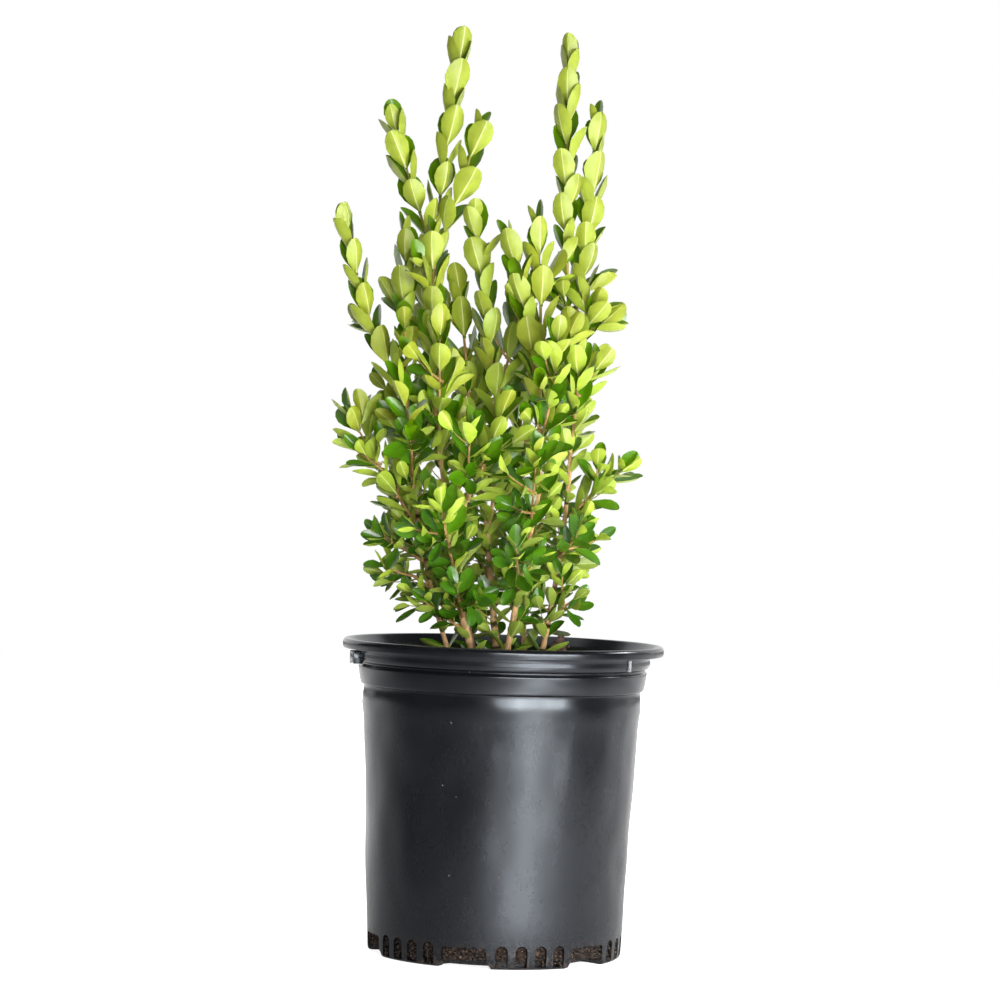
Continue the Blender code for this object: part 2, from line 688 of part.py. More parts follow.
def join_mass(name, twigs, leaves, leaf_mesh, outline, material, parts):
    """Twigs and leaves joined into one solid by one union on a collection."""
    pieces = new_collection(name + "_pieces")
    for number, twig in enumerate(twigs[1:]):
        twig_object(f"{name}_twig_{number}", twig, outline, pieces)
    for number, leaf in enumerate(leaves):
        piece = bpy.data.objects.new(f"{name}_leaf_{number}", leaf_mesh)
        piece.matrix_world = leaf.matrix()
        pieces.objects.link(piece)
    mass = twig_object(name, twigs[0], outline, parts)
    union = mass.modifiers.new("join", "BOOLEAN")
    union.operation = "UNION"
    union.operand_type = "COLLECTION"
    union.collection = pieces
    union.solver = "MANIFOLD"
    depsgraph = bpy.context.evaluated_depsgraph_get()
    joined = bpy.data.meshes.new_from_object(mass.evaluated_get(depsgraph))
    mass.modifiers.clear()
    mass.data = joined
    joined.materials.clear()
    joined.materials.append(material)
    for piece in list(pieces.objects):
        bpy.data.objects.remove(piece, do_unlink=True)
    bpy.data.collections.remove(pieces)


def add_masses(limbs, clearances, parts):
    leaf_mesh = unit_leaf()
    outline = twig_outline()
    low_leaf = new_material("low_leaf", LOW_LEAF_LOOK)
    top_leaf = new_material("top_leaf", TOP_LEAF_LOOK)
    masses = {name: plan_twigs(name, limbs, clearances) for name in MASSES}
    for twigs in masses.values():
        for twig in twigs:
            clearances.take_solid(*tube_surface(twig, 3, GAP))
    for name, twigs in masses.items():
        leaves = place_leaves(name, twigs, clearances, leaf_mesh)
        tip_height = MASSES[name][2][2]
        material = top_leaf if tip_height > YOUNG_HEIGHT else low_leaf
        join_mass(name, twigs, leaves, leaf_mesh, outline, material, parts)
    bpy.data.objects.remove(outline, do_unlink=True)


def main():
    empty_the_scene()
    parts = new_collection(PLANT)
    limbs = plan_limbs()
    clearances = Clearances()
    bark = new_material("bark", BARK_LOOK)
    for name, route in limbs.items():
        add_limb(name, route, bark, parts)
        clearances.take_route(route, name)
        clearances.take_solid(*tube_surface(route, LIMB_SIDES, GAP))
    add_masses(limbs, clearances, parts)
    add_soil(parts)
    add_pot(parts, new_collection("cutters"))


main()
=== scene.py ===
"""The look of a young boxwood in a nursery pot.

The pot, its potting mix, the bark, the twigs and the leaves are made here over the
plain solids of the frame. Twigs and leaves follow the rule that placed the solids.
Units are metres, +Z is up, and the plant is seen from the front along +Y.
"""

import json
import math
import random

import bmesh
import bpy
import numpy
from mathutils import Matrix, Quaternion, Vector, noise
from mathutils.bvhtree import BVHTree

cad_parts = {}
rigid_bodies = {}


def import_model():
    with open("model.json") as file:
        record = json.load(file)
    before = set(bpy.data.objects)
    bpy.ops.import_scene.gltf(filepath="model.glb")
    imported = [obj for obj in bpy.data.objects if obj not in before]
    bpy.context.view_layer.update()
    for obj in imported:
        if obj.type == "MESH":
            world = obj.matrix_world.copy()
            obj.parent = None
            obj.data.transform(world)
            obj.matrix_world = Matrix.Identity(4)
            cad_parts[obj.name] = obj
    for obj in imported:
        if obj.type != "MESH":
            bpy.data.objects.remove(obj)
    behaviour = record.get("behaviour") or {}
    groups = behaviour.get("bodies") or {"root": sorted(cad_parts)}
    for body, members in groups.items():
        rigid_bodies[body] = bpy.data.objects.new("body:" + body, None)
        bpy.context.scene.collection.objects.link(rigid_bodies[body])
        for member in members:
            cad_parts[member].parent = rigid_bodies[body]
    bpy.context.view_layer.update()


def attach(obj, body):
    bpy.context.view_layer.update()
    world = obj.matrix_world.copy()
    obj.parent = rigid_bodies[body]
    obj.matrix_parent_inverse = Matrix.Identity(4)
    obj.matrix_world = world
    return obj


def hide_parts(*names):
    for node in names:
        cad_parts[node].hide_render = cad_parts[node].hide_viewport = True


MM = 0.001
TURN = 2 * math.pi
GAP = 0.3 * MM
WELD = 0.01 * MM

# Camera: it looks level from the front, a little turned, at the height of the low leaves.
LENS = 122.5
SENSOR = 36
VIEW_DISTANCE = 1.75
VIEW_X = -0.0041
VIEW_Z = 0.2327
CAMERA_HEIGHT = 0.243
CAMERA_ROLL = math.radians(1.8)
ROOM_LIGHT = 0.09
FLOOR_RADIUS = 2.6
# The floor's glow in front and behind, and the places across which it changes.
FLOOR_GLOW = (0.0, 1.1)
FLOOR_FADE = (-0.14, 0.6)
# What the camera sees beyond that, near the pot and far off, and where it changes.
FLOOR_WHITER = (0.72, 1.1)
FLOOR_FAR = (0.25, 0.8)
FLOOR_PAINT = 0.5
FLOOR_STEPS = 96
# Lights: name, place, aim, width, height, power and the spread of the beam in degrees.
LIGHTS = (
    ("front_soft", (0.3, -3.0, 0.5), (0, 0, 0.25), 1.0, 0.8, 38.5, 180),
    ("low_front_right", (0.6, -0.96, 0.22), (0, 0, 0.2), 0.85, 0.28, 14.5, 180),
    ("floor_front_right", (0.29, -0.58, 0.17), (0.277, -0.554, 0), 0.17, 0.7, 8, 110),
    ("floor_near", (0.0695, -0.2297, 0.06), (0.0659, -0.2204, 0), 0.08, 0.15, 0.5, 110),
    ("floor_right", (1.0, 0.2, 0.6), (0.4, -0.02, 0), 0.4, 0.4, 1.2, 40),
    ("fill_right", (1.5, 0.7, 0.5), (0, 0, 0.15), 1.2, 1.2, 2.2, 180),
    ("soft_top", (-0.2, 0.2, 1.7), (0, 0, 0.25), 1.2, 1.2, 5, 180),
    ("white_back", (0, 2.7, 1.25), (0, 0, 0.5), 6.8, 2.4, 60, 180),
)

# Pot, from the lip down. These sizes repeat the solid's, with rounder corners.
POT_HEIGHT = 160 * MM
LIP_RADIUS = 82.5 * MM
LIP_CREST_RADIUS = 80.7 * MM
LIP_DEPTH = 5 * MM
COLLAR_TOP_RADIUS = 76.8 * MM
COLLAR_FOOT_RADIUS = 74.5 * MM
COLLAR_DEPTH = 6.7 * MM
GROOVE_RADIUS = 73 * MM
GROOVE_DEPTH = 2 * MM
BAND_TOP_RADIUS = 74.2 * MM
BAND_FOOT_RADIUS = 72.9 * MM
BAND_DEPTH = 10.3 * MM
SHOULDER_DEPTH = 3 * MM
BODY_TOP_RADIUS = 71 * MM
FOOT_RADIUS = 65 * MM
WALL = 1.3 * MM
FLOOR = 1.6 * MM
POT_STEPS = 288
WALL_STATION = 5 * MM
ROUND_STEPS = 4
# The most that a round at a corner takes of the sides that meet there.
MOST_OF_SIDE = 0.46
HOOP_HEIGHT = 127.5 * MM
HOOP_DEPTH = 5 * MM
HOOP_PROUD = 0.85 * MM
DENT_DEPTH = 0.9 * MM
DENTS_ACROSS = 1.5
DENTS_A_METRE = 16
DIMPLE_DEPTH = 0.5 * MM
DIMPLES_A_DENT = 3.1
# The wall is thin and dented between these heights. The dents stop just below its top, and
# ease in and out over the last two lengths.
THIN_WALL_FOOT = 12 * MM
THIN_WALL_TOP = 136 * MM
DENTS_TOP = 135.8 * MM
FOOT_EASE = 30 * MM
TOP_EASE = 20 * MM
PLASTIC_CREASE = 38

# Plastic: how dull it is, where the dust of its foot fades, and where the shoulder is rubbed.
SATIN = (0.22, 0.31)
DUST_HEIGHTS = (3 * MM, 15 * MM)
RUBBED_BY = -0.04
RUBBED_HEIGHTS = (122 * MM, 130 * MM)

# Fittings: angle in degrees, then radius, height, size out, along and up, and edge round in mm.
LUG_BLOCKS = (
    (-171, 76.6, 150.6, (5, 1.4, 6.4), 0.35),
    (-164, 76.6, 150.6, (5, 1.2, 6.4), 0.35),
    (-167.5, 78.4, 150.6, (1.2, 9.6, 5.6), 0.35),
)
# The rib's pale colour is partly wear and partly a painted highlight, which its edge would catch.
RIB_PALE_WEAR_AND_HIGHLIGHT = ((-33, 76, 151.4, (1.6, 1.2, 5.6), 0.4),)

# Foot of the pot: six feet with arched drain slots, and raised sectors between them.
FEET = 6
FOOT_TURN = TURN / FEET
FIRST_FOOT_ANGLE = math.radians(-73.5)
SLOTS_A_FOOT = 4
SLOT_PITCH = math.radians(8.8)
SLOT_WIDTH = 6.2 * MM
SLOT_BOTTOM = 1.2 * MM
SLOT_TOP = 12 * MM
SECTOR_RISE = 2.3 * MM
SECTOR_WIDTH = 25 * MM
SECTOR_EASE = 0.8 * MM
RISE_HEIGHT = 8 * MM
RISE_EASE = 3 * MM
UNDERSIDE_TOP = 3 * MM
FOOT_SKIN_RADIUS = 64.2 * MM
FOOT_CORE_RADIUS = 60 * MM
RING_HEIGHT = 3.8 * MM
RING_INNER_RADIUS = 50 * MM
WINDOW_WIDTH = 23 * MM
WINDOW_TOP = 10.4 * MM
WINDOW_BOTTOM = 1 * MM
WINDOW_ROUND = 1.6 * MM
WINDOW_TEETH = 14
TOOTH_HEIGHTS = (-0.5 * MM, 0.7 * MM)
ARC_STEP = 18
CUT_INNER_RADIUS = 58 * MM
CUT_OUTER_RADIUS = 70 * MM

# Potting mix.
SOIL_TOP = 150 * MM
SOIL_STEPS = 240
SOIL_RING = 1.4 * MM
SOIL_FOOT_RING = 0.8 * MM
MOUND = 1.2 * MM
MOUND_RADIUS = 70 * MM
TOP_CRUMBS = (0.8 * MM, 160, 480)
FOOT_CRUMBS = (0.9 * MM, 260, 700)
CHIPS_RADIUS = 73 * MM
CHIP_CREASE = 30
LUMP_CHIPS = 34
# A lump of bark that stands up at the right, and the dead leaf on it: place and size.
BARK_LUMP = (Vector((30, 14, 156.4)) * MM, Vector((4.2, 3.8, 6.2)) * MM)
DEAD_LEAF = (Vector((29, 12, 164.6)) * MM, Vector((7.4, 4.4, 1)) * MM)

# The rule for twigs, as in the solids.
TWIG_RADIUS = 1.15 * MM
SIDE_TWIG_RADIUS = 1 * MM
TWIG_TIP_RADIUS = 0.8 * MM
TWIG_STATION = 26 * MM
TIP_LEAF_SHARE = 0.6
TWIG_LEAN = (42, 62)
TWIG_REACH = (0.8, 1.1)
TWIG_UPTURN = 0.25
TWIG_BOW = 0.06
# The share of a mass's stem below its first side twig, and the share that bears them.
BARE_SHARE = 0.12
TWIGGY_SHARE = 0.55
GOLDEN_TURN = math.radians(137.5)
CLEARANCE_STEP = 1.5 * MM
TWIG_TRIES = 8
TUBE_TEST = (5, 6 * MM)

# Bark and twigs: sides, the step along, relief as a share of the radius, and what is sunk in.
BARK_TUBE = (14, 1.6 * MM, 0.16)
STEM_SUNK = 1.6 * MM
BOUGH_SUNK = 1.2 * MM
BARK_SLIM = 0.88
BARK_FLARE = 0.22
FLARE_LENGTH = 3 * MM
# How many grains of bark a metre holds across and along, and how many lumps.
GRAIN_ACROSS = 900
GRAIN_ALONG = 170
GRAIN_LUMPS = 420
# Nodes: how far each swells, the distance from one to the next, and their share of it.
BARK_NODES = (0.12, 13 * MM, 0.09)
TWIG_TUBE = (7, 3 * MM, 0.06, 2.4 * MM)
FINE_TWIG_TUBE = (6, 3 * MM, 0.0, 0.6 * MM)
TWIG_NODES = (0.14, 11 * MM, 0.1)
TWIG_SLIM = 0.74
TWIG_TAPER = 0.26
# The way the plant is seen, from which its leaf pairs are turned.
FRONT = Vector((0, 1, 0))
# In the tables, this in place of a height stands for the carrier's tip.
TIP = None

# Stems: foot across and back, tip, bow of the middle, and radius at foot and tip, in mm.
STEMS = {
    "stem_left": ((-27, -3), (-53, -9, 285), (-5, 0), 1.5, 1.0),
    "stem_fork": ((-14, -9), (-29, -12, 220), (-3, 0), 2.2, 1.8),
    "stem_centre": ((-3, 1), (-11, 9, 222), (0, 0), 2.3, 1.5),
    "stem_inner": ((1, -10), (16, -11, 240), (0, 0), 1.9, 1.4),
    "stem_right": ((19, -2), (31, 1, 243), (1.5, 0), 1.7, 1.3),
    "stem_back": ((11, 11), (4, 26, 234), (1, 0), 1.7, 1.1),
    "stem_back_left": ((-14, 11), (-32, 26, 228), (-1, 0), 1.6, 1.1),
}

# Boughs: what carries each, how high, then tip, bow and radii as for the stems.
BOUGHS = {
    "bough_leader": ("stem_fork", TIP, (-41, -4, 366), (-5, 1), 1.5, 1.0),
    "bough_fork": ("stem_fork", 214, (-13, -20, 250), (0, 0), 1.2, 0.9),
    "bough_centre": ("stem_centre", TIP, (-23, 17, 298), (-2, 0), 1.4, 0.9),
    "bough_middle": ("stem_centre", 212, (-11, -1, 305), (3, -3), 1.1, 0.9),
    "bough_inner": ("stem_inner", TIP, (14, -14, 312), (0, 0), 1.3, 0.9),
    "bough_right": ("stem_right", TIP, (27, 5, 350), (2, 0), 1.3, 1.0),
}

# Leafy masses on each limb: height on it, tip, bow, side twigs, their length, leaf length.
MASSES_ON = {
    "stem_left": {
        "left_top": (TIP, (-56, -13, 376), (-1, 0), 1, 18, 21),
        "left_upper": (276, (-88, -20, 380), (-4, 0), 0, 0, 21),
        "left_side": (216, (-87, -10, 283), (-1, 0), 2, 16, 19),
        "left_front": (243, (-59, -38, 299), (2, -6), 1, 20, 20),
        "left_back": (236, (-59, 22, 299), (2, 6), 1, 20, 20),
        "left_low": (199, (-72, -18, 219), (0, 0), 2, 18, 18),
        "left_lowest": (186, (-64, 2, 203), (0, 0), 1, 16, 17),
        "left_low_back": (205, (-64, 28, 236), (0, 4), 1, 18, 18),
    },
    "stem_fork": {
        "foot_left": (164, (-55, -18, 190), (0, 0), 1, 16, 17),
        "foot_front": (172, (-26, -46, 196), (0, -4), 1, 16, 17),
        "fork_low": (196, (-36, -50, 240), (0, -6), 1, 20, 18),
    },
    "bough_leader": {
        "leader_top": (TIP, (-30, 2, 474), (-1, 0), 0, 0, 21),
        "leader_left": (356, (-66, -8, 432), (-1, 0), 0, 0, 21),
        "leader_right": (358, (-20, -8, 431), (1.5, 0), 0, 0, 21),
        "leader_front": (258, (-37, -38, 326), (0, -6), 2, 20, 20),
        "leader_face": (300, (-42, -24, 372), (0, -4), 1, 18, 21),
        "leader_back": (300, (-48, 26, 366), (0, 6), 1, 20, 20),
    },
    "bough_fork": {
        "fork_top": (TIP, (-1, -29, 288), (0, 0), 0, 0, 20),
        "fork_front": (232, (-20, -48, 276), (0, -4), 1, 18, 19),
    },
    "stem_centre": {
        "centre_low": (184, (-24, 32, 232), (0, 4), 2, 18, 18),
    },
    "bough_centre": {
        "centre_top": (TIP, (-30, 22, 350), (0, 0), 1, 20, 20),
        "centre_back": (262, (-14, 50, 322), (0, 5), 1, 20, 20),
    },
    "bough_middle": {
        "middle_top": (TIP, (-24, -4, 388), (1, 0), 0, 0, 21),
        "middle_side": (282, (0, 14, 352), (3, 3), 1, 18, 20),
    },
    "bough_inner": {
        "inner_top": (TIP, (9, -15, 382), (1, 0), 1, 18, 21),
        "inner_left": (268, (-6, -22, 374), (2, -1), 1, 16, 21),
        "inner_face": (262, (22, -38, 326), (2, -6), 1, 20, 20),
    },
    "stem_inner": {
        "inner_front": (214, (14, -52, 266), (0, -6), 2, 20, 19),
        "inner_low": (186, (4, -52, 218), (0, -5), 1, 18, 18),
    },
    "bough_right": {
        "right_top": (TIP, (25, 8, 473), (-1, 0), 0, 0, 21),
        "right_side": (318, (38, 14, 439), (3, 2), 0, 0, 21),
        "right_spur": (308, (46, -8, 340), (0, -2), 0, 0, 20),
        "right_mid": (262, (33, -22, 316), (1, -4), 1, 18, 20),
        "right_back": (266, (32, 34, 322), (1, 5), 1, 20, 20),
    },
    "stem_right": {
        "right_reach": (224, (65, -4, 256), (0, 0), 2, 16, 18),
        "right_low": (204, (41, -30, 224), (0, -4), 1, 18, 18),
        "right_low_back": (196, (45, 28, 210), (0, 3), 1, 18, 18),
        "foot_right": (172, (42, -8, 189), (0, 0), 1, 16, 17),
    },
    "stem_back": {
        "back_top": (TIP, (8, 40, 334), (0, 4), 1, 20, 20),
        "back_right": (208, (34, 50, 272), (2, 5), 1, 20, 19),
        "back_low": (184, (10, 58, 218), (0, 5), 1, 20, 18),
    },
    "stem_back_left": {
        "back_left_top": (TIP, (-38, 42, 314), (0, 4), 1, 20, 20),
        "back_left": (208, (-62, 44, 264), (-2, 4), 1, 20, 19),
        "back_left_low": (182, (-34, 56, 214), (0, 5), 1, 20, 18),
    },
}
MASSES = {
    "leaves_" + name: (carrier, *sizes)
    for carrier, rows in MASSES_ON.items() for name, sizes in rows.items()}

# Leaves as they are in life: small and spreading low down, large and upright at the top.
LOW_HEIGHT = 185 * MM
HIGH_HEIGHT = 330 * MM
AGED_TOP = 345 * MM
LOW_LEAF = 17 * MM
HIGH_LEAF = 23.2 * MM
LOW_LEAN = math.radians(52)
HIGH_LEAN = math.radians(22)
NODE_SPACING = 0.5
LEAF_OPENING = math.radians(6)
LEAF_SWAY = 0.26
LEAF_ROLL = 0.3
SLENDER_SPREAD = (0.82, 1.06)
LENGTH_SPREAD = (0.86, 1.07)
LEAN_SPREAD = (0.75, 1.25)
LEAF_TRIES = 6
TRY_SHRINK = 0.03
LEAF_OVER_SOIL = 2 * MM
LEAF_WIDTH = 0.57
LOW_SLENDER = 0.88
LEAF_TEST_THICKNESS = 0.1
LEAF_ROOT_FREE = 0.18
LEAF_SUNK = 0.4 * MM
PAIR_TURN = (0.12, 0.62)
TIP_SIZES = (0.78, 0.96, 1)
TIP_LEANS = (0.6, 0.85, 1)
AXIL_SPACING = 8.5 * MM
AXIL_LENGTH = (8, 16)
AXIL_FOOT = SOIL_TOP + 12 * MM
AXIL_TOP = 340 * MM
AXIL_SHARE = 0.88
AXILS_LEFT_BARE = 0.75
FINE_TWIG_RADIUS = 0.6 * MM
FINE_TWIG_TIP_RADIUS = 0.4 * MM
# Where the leaves start and end as shares of what carries them, and their size on it.
MASS_STEM_LEAVES = ((0.06, 0.965), 1)
SIDE_TWIG_LEAVES = ((0.2, 0.97), 0.98)
FINE_TWIG_LEAVES = ((0.35, 0.97), 0.92)
STEM_LEAVES = ((0.04, 0.97), 0.92)
BOUGH_LEAVES = ((0.03, 0.97), 0.92)

# Share of the leaf's length and half width of each row, from the root to below the tip.
LEAF_ROWS = ((0, 0.08), (0.1, 0.13), (0.24, 0.42), (0.41, 0.8), (0.6, 1), (0.8, 0.86))
# The round of the tip: share of the length and half width, from the midrib outward.
LEAF_TIP = ((0.998, 0.05), (0.978, 0.3), (0.92, 0.58))
LEAF_COLUMNS = (0.05, 0.52, 1)
COLUMN_FACES = 5
LEAF_THICK = 0.026
RIB_PROUD = 0.014
RIB_ROOT = 0.021
RIB_TIP = 0.008
RIB_FACE = 0.004
RIB_MOST = 0.6
LEAF_WELD = 1e-5
LEAF_SHAPES = 12
LEAF_CREASE = 75
# How the leaf shapes differ: how cupped, folded, arched, broad and wide each is.
LEAF_CUP = (0.03, 0.14)
LEAF_FOLD = (0.1, 0.34)
LEAF_ARCH = (-0.03, 0.11)
LEAF_BROAD = (0.9, 1.12)
LEAF_SPAN = (0.92, 1.04)
LEAF_SKEW = (-0.07, 0.07)


def linear(red, green, blue):
    """A colour given as screen values up to 255, as the shader wants it."""
    return tuple(((value / 255 + 0.055) / 1.055) ** 2.4 for value in (red, green, blue)) + (1,)


# Leaf tints from the youngest to the oldest: upper side, underside and midrib.
TINTS = {
    "spring": (linear(96, 140, 6), linear(160, 176, 56), linear(204, 211, 137)),
    "golden": (linear(94, 134, 5), linear(161, 174, 49), linear(202, 207, 124)),
    "fresh": (linear(84, 134, 6), linear(163, 185, 56), linear(207, 217, 134)),
    "summer": (linear(78, 130, 7), linear(168, 193, 58), linear(208, 221, 134)),
    "deep": (linear(72, 121, 9), linear(163, 188, 60), linear(206, 219, 136)),
    "shade": (linear(62, 110, 14), linear(142, 164, 62), linear(188, 200, 124)),
}
# How many tints older a leaf is at the foot of its twig than at the tip, and how far it strays.
TINTS_A_TWIG = 1.1
TINTS_ASTRAY = 1.2


class Route:
    """A tapering centreline, whose middle stands off the straight line by its bow."""

    def __init__(self, start, end, bow, thick, thin):
        self.start = start
        self.end = end
        self.knee = (start + end) / 2 + 2 * bow
        self.thick = thick
        self.thin = thin

    def at(self, share):
        rest = 1 - share
        return rest * rest * self.start + 2 * rest * share * self.knee + share * share * self.end

    def along(self, share):
        return ((1 - share) * (self.knee - self.start) + share * (self.end - self.knee)).normalized()

    def radius(self, share):
        return self.thick + share * (self.thin - self.thick)

    def length(self):
        return sum((self.at(part / 10) - self.at((part + 1) / 10)).length for part in range(10))

    def share_at_height(self, height):
        low, high = 0.0, 1.0
        for _ in range(24):
            middle = (low + high) / 2
            if self.at(middle).z < height:
                low = middle
            else:
                high = middle
        return (low + high) / 2

    def samples(self, step):
        count = max(2, round(self.length() / step) + 1)
        return [self.at(number / (count - 1)) for number in range(count)]


def mesh_of(name, shape):
    """A mesh from a bmesh, which is freed."""
    mesh = bpy.data.meshes.new(name)
    shape.to_mesh(mesh)
    shape.free()
    return mesh


def add_piece(name, shape, materials, nodes=(), sharp=None):
    """Makes a piece of the plant from a bmesh, smooth but for edges past the sharp angle."""
    for face in shape.faces:
        face.smooth = True
    mesh = mesh_of(name, shape)
    for material in materials:
        mesh.materials.append(material)
    if sharp:
        mesh.set_sharp_from_angle(angle=math.radians(sharp))
    piece = bpy.data.objects.new(name, mesh)
    bpy.context.scene.collection.objects.link(piece)
    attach(piece, "root")
    if nodes:
        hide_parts(*nodes)


class Finish:
    """A material under construction, on Object coordinates."""

    def __init__(self, name):
        self.material = bpy.data.materials.new(name)
        self.material.use_nodes = True
        self.tree = self.material.node_tree
        self.inputs = self.tree.nodes["Principled BSDF"].inputs
        self.place = self.node("ShaderNodeTexCoord").outputs["Object"]

    def node(self, kind, values=None, **settings):
        """A new node with its settings, and its inputs fed with the values."""
        made = self.tree.nodes.new(kind)
        for name, setting in settings.items():
            setattr(made, name, setting)
        self.feed(made.inputs, values or {})
        return made

    def feed(self, inputs, values):
        """Links each input to another node's output, or gives it a number or a colour."""
        for name, value in values.items():
            if isinstance(value, bpy.types.NodeSocket):
                self.tree.links.new(value, inputs[name])
            else:
                inputs[name].default_value = value

    def axes(self):
        return self.node("ShaderNodeSeparateXYZ", {"Vector": self.place}).outputs

    def stretched(self, across, along):
        """The place scaled across and along Z, for grain that runs up a stem."""
        values = {"Scale": (across, across, along), "Vector": self.place}
        return self.node("ShaderNodeMapping", values).outputs["Vector"]

    def noise(self, scale, detail=2.0, place=None, roughness=0.5):
        values = {"Scale": scale, "Detail": detail, "Roughness": roughness}
        values["Vector"] = place or self.place
        return self.node("ShaderNodeTexNoise", values).outputs["Fac"]

    def cells(self, scale, output="Color"):
        values = {"Scale": scale, "Vector": self.place}
        return self.node("ShaderNodeTexVoronoi", values).outputs[output]

    def ramp(self, factor, *stops):
        ramp = self.node("ShaderNodeValToRGB", {"Fac": factor})
        points = ramp.color_ramp.elements
        while len(points) < len(stops):
            points.new(0.5)
        for point, (position, colour) in zip(points, stops):
            point.position = position
            point.color = colour
        return ramp.outputs["Color"]

    def spread(self, value, low, high, from_low=0.3, from_high=0.7):
        """A value between two limits, spread from low to high."""
        values = {"Value": value, "To Min": low, "To Max": high}
        values.update({"From Min": from_low, "From Max": from_high})
        return self.node("ShaderNodeMapRange", values).outputs["Result"]

    def mixed(self, factor, first, second, blend="MIX"):
        values = {"Factor": factor, "A": first, "B": second}
        mix = self.node("ShaderNodeMix", values, data_type="RGBA", blend_type=blend)
        return mix.outputs["Result"]

    def worked_out(self, operation, *values):
        """A sum on numbers and other nodes' outputs."""
        made = self.node("ShaderNodeMath", dict(enumerate(values)), operation=operation)
        return made.outputs["Value"]

    def bump(self, height, distance, strength=1.0):
        values = {"Height": height, "Distance": distance, "Strength": strength}
        self.feed(self.inputs, {"Normal": self.node("ShaderNodeBump", values).outputs["Normal"]})

    def done(self, colour, roughness, specular=0.5):
        """The material, with its colour and how it shines."""
        values = {"Base Color": colour, "Roughness": roughness, "Specular IOR Level": specular}
        self.feed(self.inputs, values)
        return self.material


def shaded(colour, factor):
    return tuple(value * factor for value in colour[:3]) + (1,)


def plastic_finish():
    """Satin black, with haze, dust of the mix at the foot and a few pale specks."""
    finish = Finish("black_plastic_moulded")
    across, _, up = finish.axes()
    clouds = finish.noise(38, 5, roughness=0.62)
    plain = finish.ramp(clouds, (0.32, linear(9, 9, 11)), (0.7, linear(18, 18, 22)))
    low = finish.spread(up, 1, 0, *DUST_HEIGHTS)
    blots = finish.spread(finish.noise(330, 5, roughness=0.7), 0, 0.9, 0.47, 0.6)
    dusty = finish.worked_out("MULTIPLY", low, blots)
    dusted = finish.mixed(dusty, plain, linear(52, 42, 35))
    dots = finish.spread(finish.cells(80, "Distance"), 1, 0, 0.02, 0.035)
    strewn = finish.spread(across, 0.7, 0, -30 * MM, 10 * MM)
    specks = finish.worked_out("MULTIPLY", dots, strewn)
    satin = finish.spread(finish.noise(95, 6, finish.stretched(1, 0.35), 0.7), *SATIN)
    rubbed = finish.worked_out("ADD", finish.spread(up, 0, RUBBED_BY, *RUBBED_HEIGHTS), satin)
    dull = finish.worked_out("MULTIPLY_ADD", dusty, 0.35, rubbed)
    finish.bump(finish.noise(650, 3), 0.05 * MM, 0.4)
    finish.inputs["Specular Tint"].default_value = (0.84, 0.92, 1, 1)
    return finish.done(finish.mixed(specks, dusted, linear(168, 158, 146)), dull)


def mix_finish():
    """Potting mix: dark crumbs of peat with paler specks of bark."""
    finish = Finish("potting_mix_crumbs")
    crumbs = finish.ramp(
        finish.cells(900), (0.0, linear(16, 13, 11)), (0.5, linear(34, 26, 21)),
        (0.78, linear(62, 47, 37)), (1.0, linear(120, 98, 78)))
    damp = finish.spread(finish.noise(160, 3), 0.35, 1.0)
    finish.bump(finish.noise(1100, 4), 0.5 * MM)
    return finish.done(finish.mixed(damp, linear(18, 14, 12), crumbs), 0.95, 0.25)


def grainy_finish(name, dark, light):
    """A dull, grainy surface, for chips of bark, the dead leaf and the rib, which is pale with wear
    and a painted highlight.
    """
    finish = Finish(name)
    grain = finish.noise(420, 4)
    finish.bump(grain, 0.3 * MM)
    return finish.done(finish.ramp(grain, (0.3, linear(*dark)), (0.68, linear(*light))), 0.9)


def bark_finish():
    """Brown at the soil, then tan, and warm where the wood is young."""
    finish = Finish("bark_tan")
    height = finish.spread(finish.axes()["Z"], 0, 1, SOIL_TOP, 0.35)
    by_height = finish.ramp(
        height, (0.0, linear(150, 118, 84)), (0.1, linear(204, 168, 120)),
        (0.45, linear(222, 184, 128)), (1.0, linear(204, 152, 90)))
    grain = finish.noise(1000, 4, finish.stretched(1, 0.22), 0.65)
    streaks = finish.ramp(grain, (0.3, (0.52, 0.47, 0.42, 1)), (0.62, (1.1, 1.08, 1.05, 1)))
    finish.bump(grain, 0.25 * MM)
    return finish.done(finish.mixed(1.0, by_height, streaks, "MULTIPLY"), 0.78)


def twig_finish(name, colour):
    finish = Finish(name)
    grain = finish.noise(700, 3, finish.stretched(1, 0.3))
    finish.bump(grain, 0.1 * MM)
    return finish.done(finish.ramp(grain, (0.3, shaded(colour, 0.68)), (0.65, colour)), 0.6)


def leaf_finish(name, colour, roughness, specular):
    """Leaf colour with a mottle a few millimetres wide and veins too fine to place."""
    finish = Finish(name)
    mottle = finish.spread(finish.noise(170, 3), 0.0, 0.6)
    finish.bump(finish.noise(900, 3), 0.06 * MM, 0.5)
    return finish.done(finish.mixed(mottle, colour, shaded(colour, 0.66)), roughness, specular)


def leaf_finishes(tint):
    upper, under, rib = TINTS[tint]
    return (
        leaf_finish(f"leaf_{tint}_upper", upper, 0.27, 0.6),
        leaf_finish(f"leaf_{tint}_under", under, 0.44, 0.5),
        leaf_finish(f"leaf_{tint}_rib", rib, 0.5, 0.4))


def rounded(points, rounds):
    """Radius and height down a profile, with a curve at each corner that has a round."""
    profile = [Vector(points[0])]
    for before, corner, after, reach in zip(points, points[1:], points[2:], rounds):
        corner = Vector(corner)
        if not reach:
            profile.append(corner)
            continue
        back = Vector(before) - corner
        ahead = Vector(after) - corner
        cut = min(reach, MOST_OF_SIDE * back.length, MOST_OF_SIDE * ahead.length)
        start = corner + back.normalized() * cut
        end = corner + ahead.normalized() * cut
        for step in range(ROUND_STEPS + 1):
            share = step / ROUND_STEPS
            profile.append(start.lerp(corner, share).lerp(corner.lerp(end, share), share))
    profile.append(Vector(points[-1]))
    return profile


